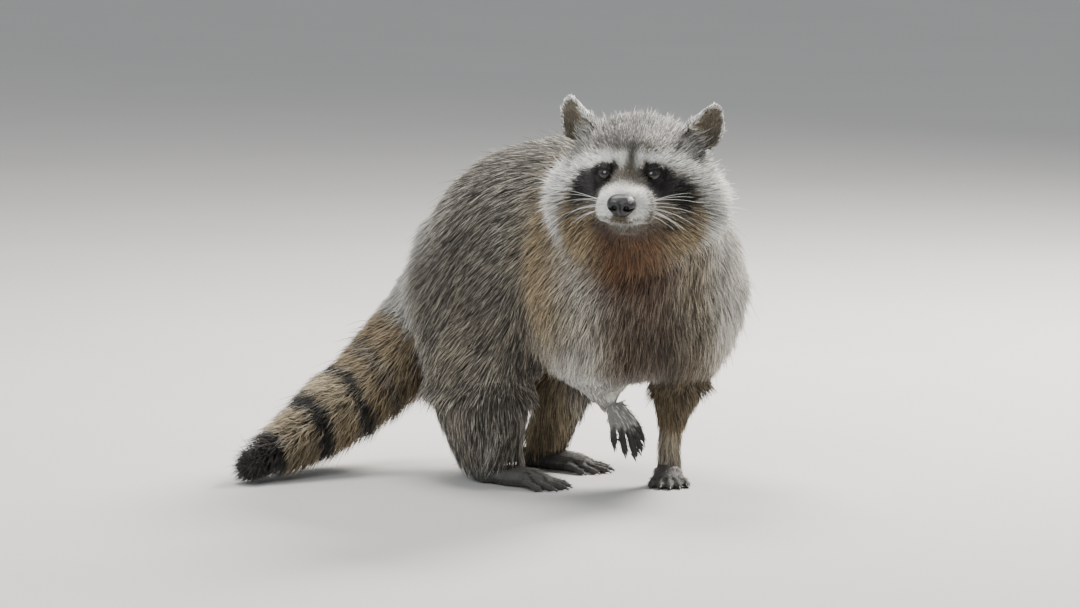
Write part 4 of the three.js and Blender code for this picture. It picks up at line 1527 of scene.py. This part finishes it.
def make_whiskers(hide):
    """Three rows of stiff white whiskers on each side of the muzzle, and a few over each eye."""
    tree = BVHTree.FromPolygons([Vector(p) for p in hide.points], hide.faces.tolist())
    f = Finish("whisker")
    tint = f.noise(120.0, 2.0)
    tone = f.mix(shade(0.62, 0.60, 0.56), shade(0.88, 0.87, 0.84), tint)
    ridges = f.raised(tint, 0.1, 0.0002)
    material = f.surface(base_color=tone, roughness=tint.to(0.3, 0.45), normal=ridges)
    paths, thicks = [], []
    t = np.linspace(0, 1, 12)
    for side in (-1, 1):
        starts = []
        for row in range(3):
            for place_in_row in range(4):
                back = -84 + 6.2 * place_in_row + 1.5 * row
                height = -14.5 - 4.4 * row + chance.uniform(-1.0, 1.0)
                way = [side * 0.93, -0.16 + 0.07 * place_in_row, 0.26 - 0.27 * row]
                long = 33 - 2 * row + 3 * place_in_row - 7 * (place_in_row == 0)
                starts.append(([0, back, height], way, long))
        for place_in_row in range(4):
            at = [side * (13 + 4.5 * place_in_row), -30, 15 + 1.5 * place_in_row]
            starts.append((at, [side * 0.6, -0.7, 0.75], 20))
        for at, way, long in starts:
            aim = np.array([side, 0.0, 0.0] if at[0] == 0 else [0.0, -1.0, 0.0])
            begin = head.world(at)
            hit = tree.ray_cast(Vector(begin), Vector(head.way(aim)))
            if hit[0] is None:
                continue
            root = head.local(np.array(hit[0])[None])[0] - aim * WHISKER_ROOT
            way = unit(np.array(way) + chance.normal(0, 0.12, 3))
            long = long * chance.uniform(0.75, 1.25)
            bend = np.array([-0.1 * side, 0.5, -0.3]) * long * chance.uniform(0.5, 1.3)
            path = root + way * (long * t)[:, None] + bend * (t**2.0)[:, None]
            paths.append(head.world(path))
            thicks.append(0.13 * (1 - t) ** 0.8 + 0.045)
    made = rods_along("whiskers", paths, thicks, material, 1.0, 5)


# ------------------------------------------------------------------------------- the studio


def make_camera():
    """Looks at the animal from its right front and 9 degrees above level."""
    azimuth, elevation, distance = np.radians(-40.0), np.radians(9.0), 4.5
    right = np.array([np.cos(azimuth), np.sin(azimuth), 0.0])
    level = np.array([np.sin(azimuth), -np.cos(azimuth), 0.0])
    back = level * np.cos(elevation) + [0.0, 0.0, np.sin(elevation)]
    up = np.cross(back, right)
    foot = np.array([0.0263, -0.0374, 0.0])
    spot = foot + back * distance
    back = unit(spot - (foot - right * (28 / 1150) + up * (186 / 1150)))
    right = unit(np.cross([0.0, 0.0, 1.0], back))
    up = np.cross(back, right)
    lens = bpy.data.cameras.new("camera")
    lens.lens = 172.5
    lens.sensor_width = 36.0
    lens.clip_end = 60.0
    made = bpy.data.objects.new("camera", lens)
    bpy.context.collection.objects.link(made)
    turn = Matrix(np.array([right, up, back]).T.tolist()).to_4x4()
    made.matrix_world = Matrix.Translation(Vector(spot)) @ turn
    bpy.context.scene.camera = made
    return right, back


def area_light(name, spot, size, power, tint):
    lamp = bpy.data.lights.new(name, "AREA")
    lamp.size = size
    lamp.energy = power
    lamp.color = tint
    made = bpy.data.objects.new(name, lamp)
    bpy.context.collection.objects.link(made)
    aim = Vector((0.0, 0.0, 0.15)) - Vector(spot)
    turn = aim.to_track_quat("-Z", "Y").to_matrix().to_4x4()
    made.matrix_world = Matrix.Translation(Vector(spot)) @ turn


def make_studio(right, back):
    """A pale floor under a soft sky, a key from behind on the right and a broad fill in front."""
    flat = np.array([back[0], back[1], 0.0])
    area_light("back key", right * 1.2 - flat * 1.2 + [0, 0, 1.6], 0.7, 125.0, (1.0, 0.96, 0.90))
    area_light("top", right * -0.3 - flat * 0.5 + [0, 0, 2.1], 0.9, 45.0, (1.0, 0.97, 0.93))
    area_light("front fill", right * -1.1 + flat * 2.1 + [0, 0, 1.6], 1.5, 34.0, (0.95, 0.98, 1.0))
    world = bpy.data.worlds.new("studio")
    bpy.context.scene.world = world
    world.use_nodes = True
    world.node_tree.nodes["Background"].inputs["Color"].default_value = (0.80, 0.83, 0.86, 1.0)
    world.node_tree.nodes["Background"].inputs["Strength"].default_value = 0.55
    f = Finish("pale floor")
    drift = f.noise(3.0, 3.0)
    tone = f.mix(shade(0.60, 0.59, 0.57), shade(0.66, 0.65, 0.63), drift)
    uneven = f.raised(drift, 0.05, 0.01)
    material = f.surface(base_color=tone, roughness=drift.to(0.7, 0.85), normal=uneven)
    steps = np.linspace(0, 2 * np.pi, 97)[:-1]
    ring = np.stack([14 * np.cos(steps), 14 * np.sin(steps), 0 * steps], 1)
    floor = add_object("floor", mesh_from("floor", ring, [range(96)]))
    floor.data.materials.append(material)


# ------------------------------------------------------------------------------- putting it together


def main():
    right, back = make_camera()
    make_studio(right, back)
    hide = Hide(make_skin())
    hide.dress()
    hide.object.data.materials.clear()
    hide.object.data.materials.append(skin_finish())
    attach(hide.object, "root")
    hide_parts(*FLESH)
    glossy = eye_finish()
    for side in EYES:
        make_eye(side, glossy)
    make_nose(nose_finish())
    make_claws()
    make_whiskers(hide)
    make_coat(hide)


main()
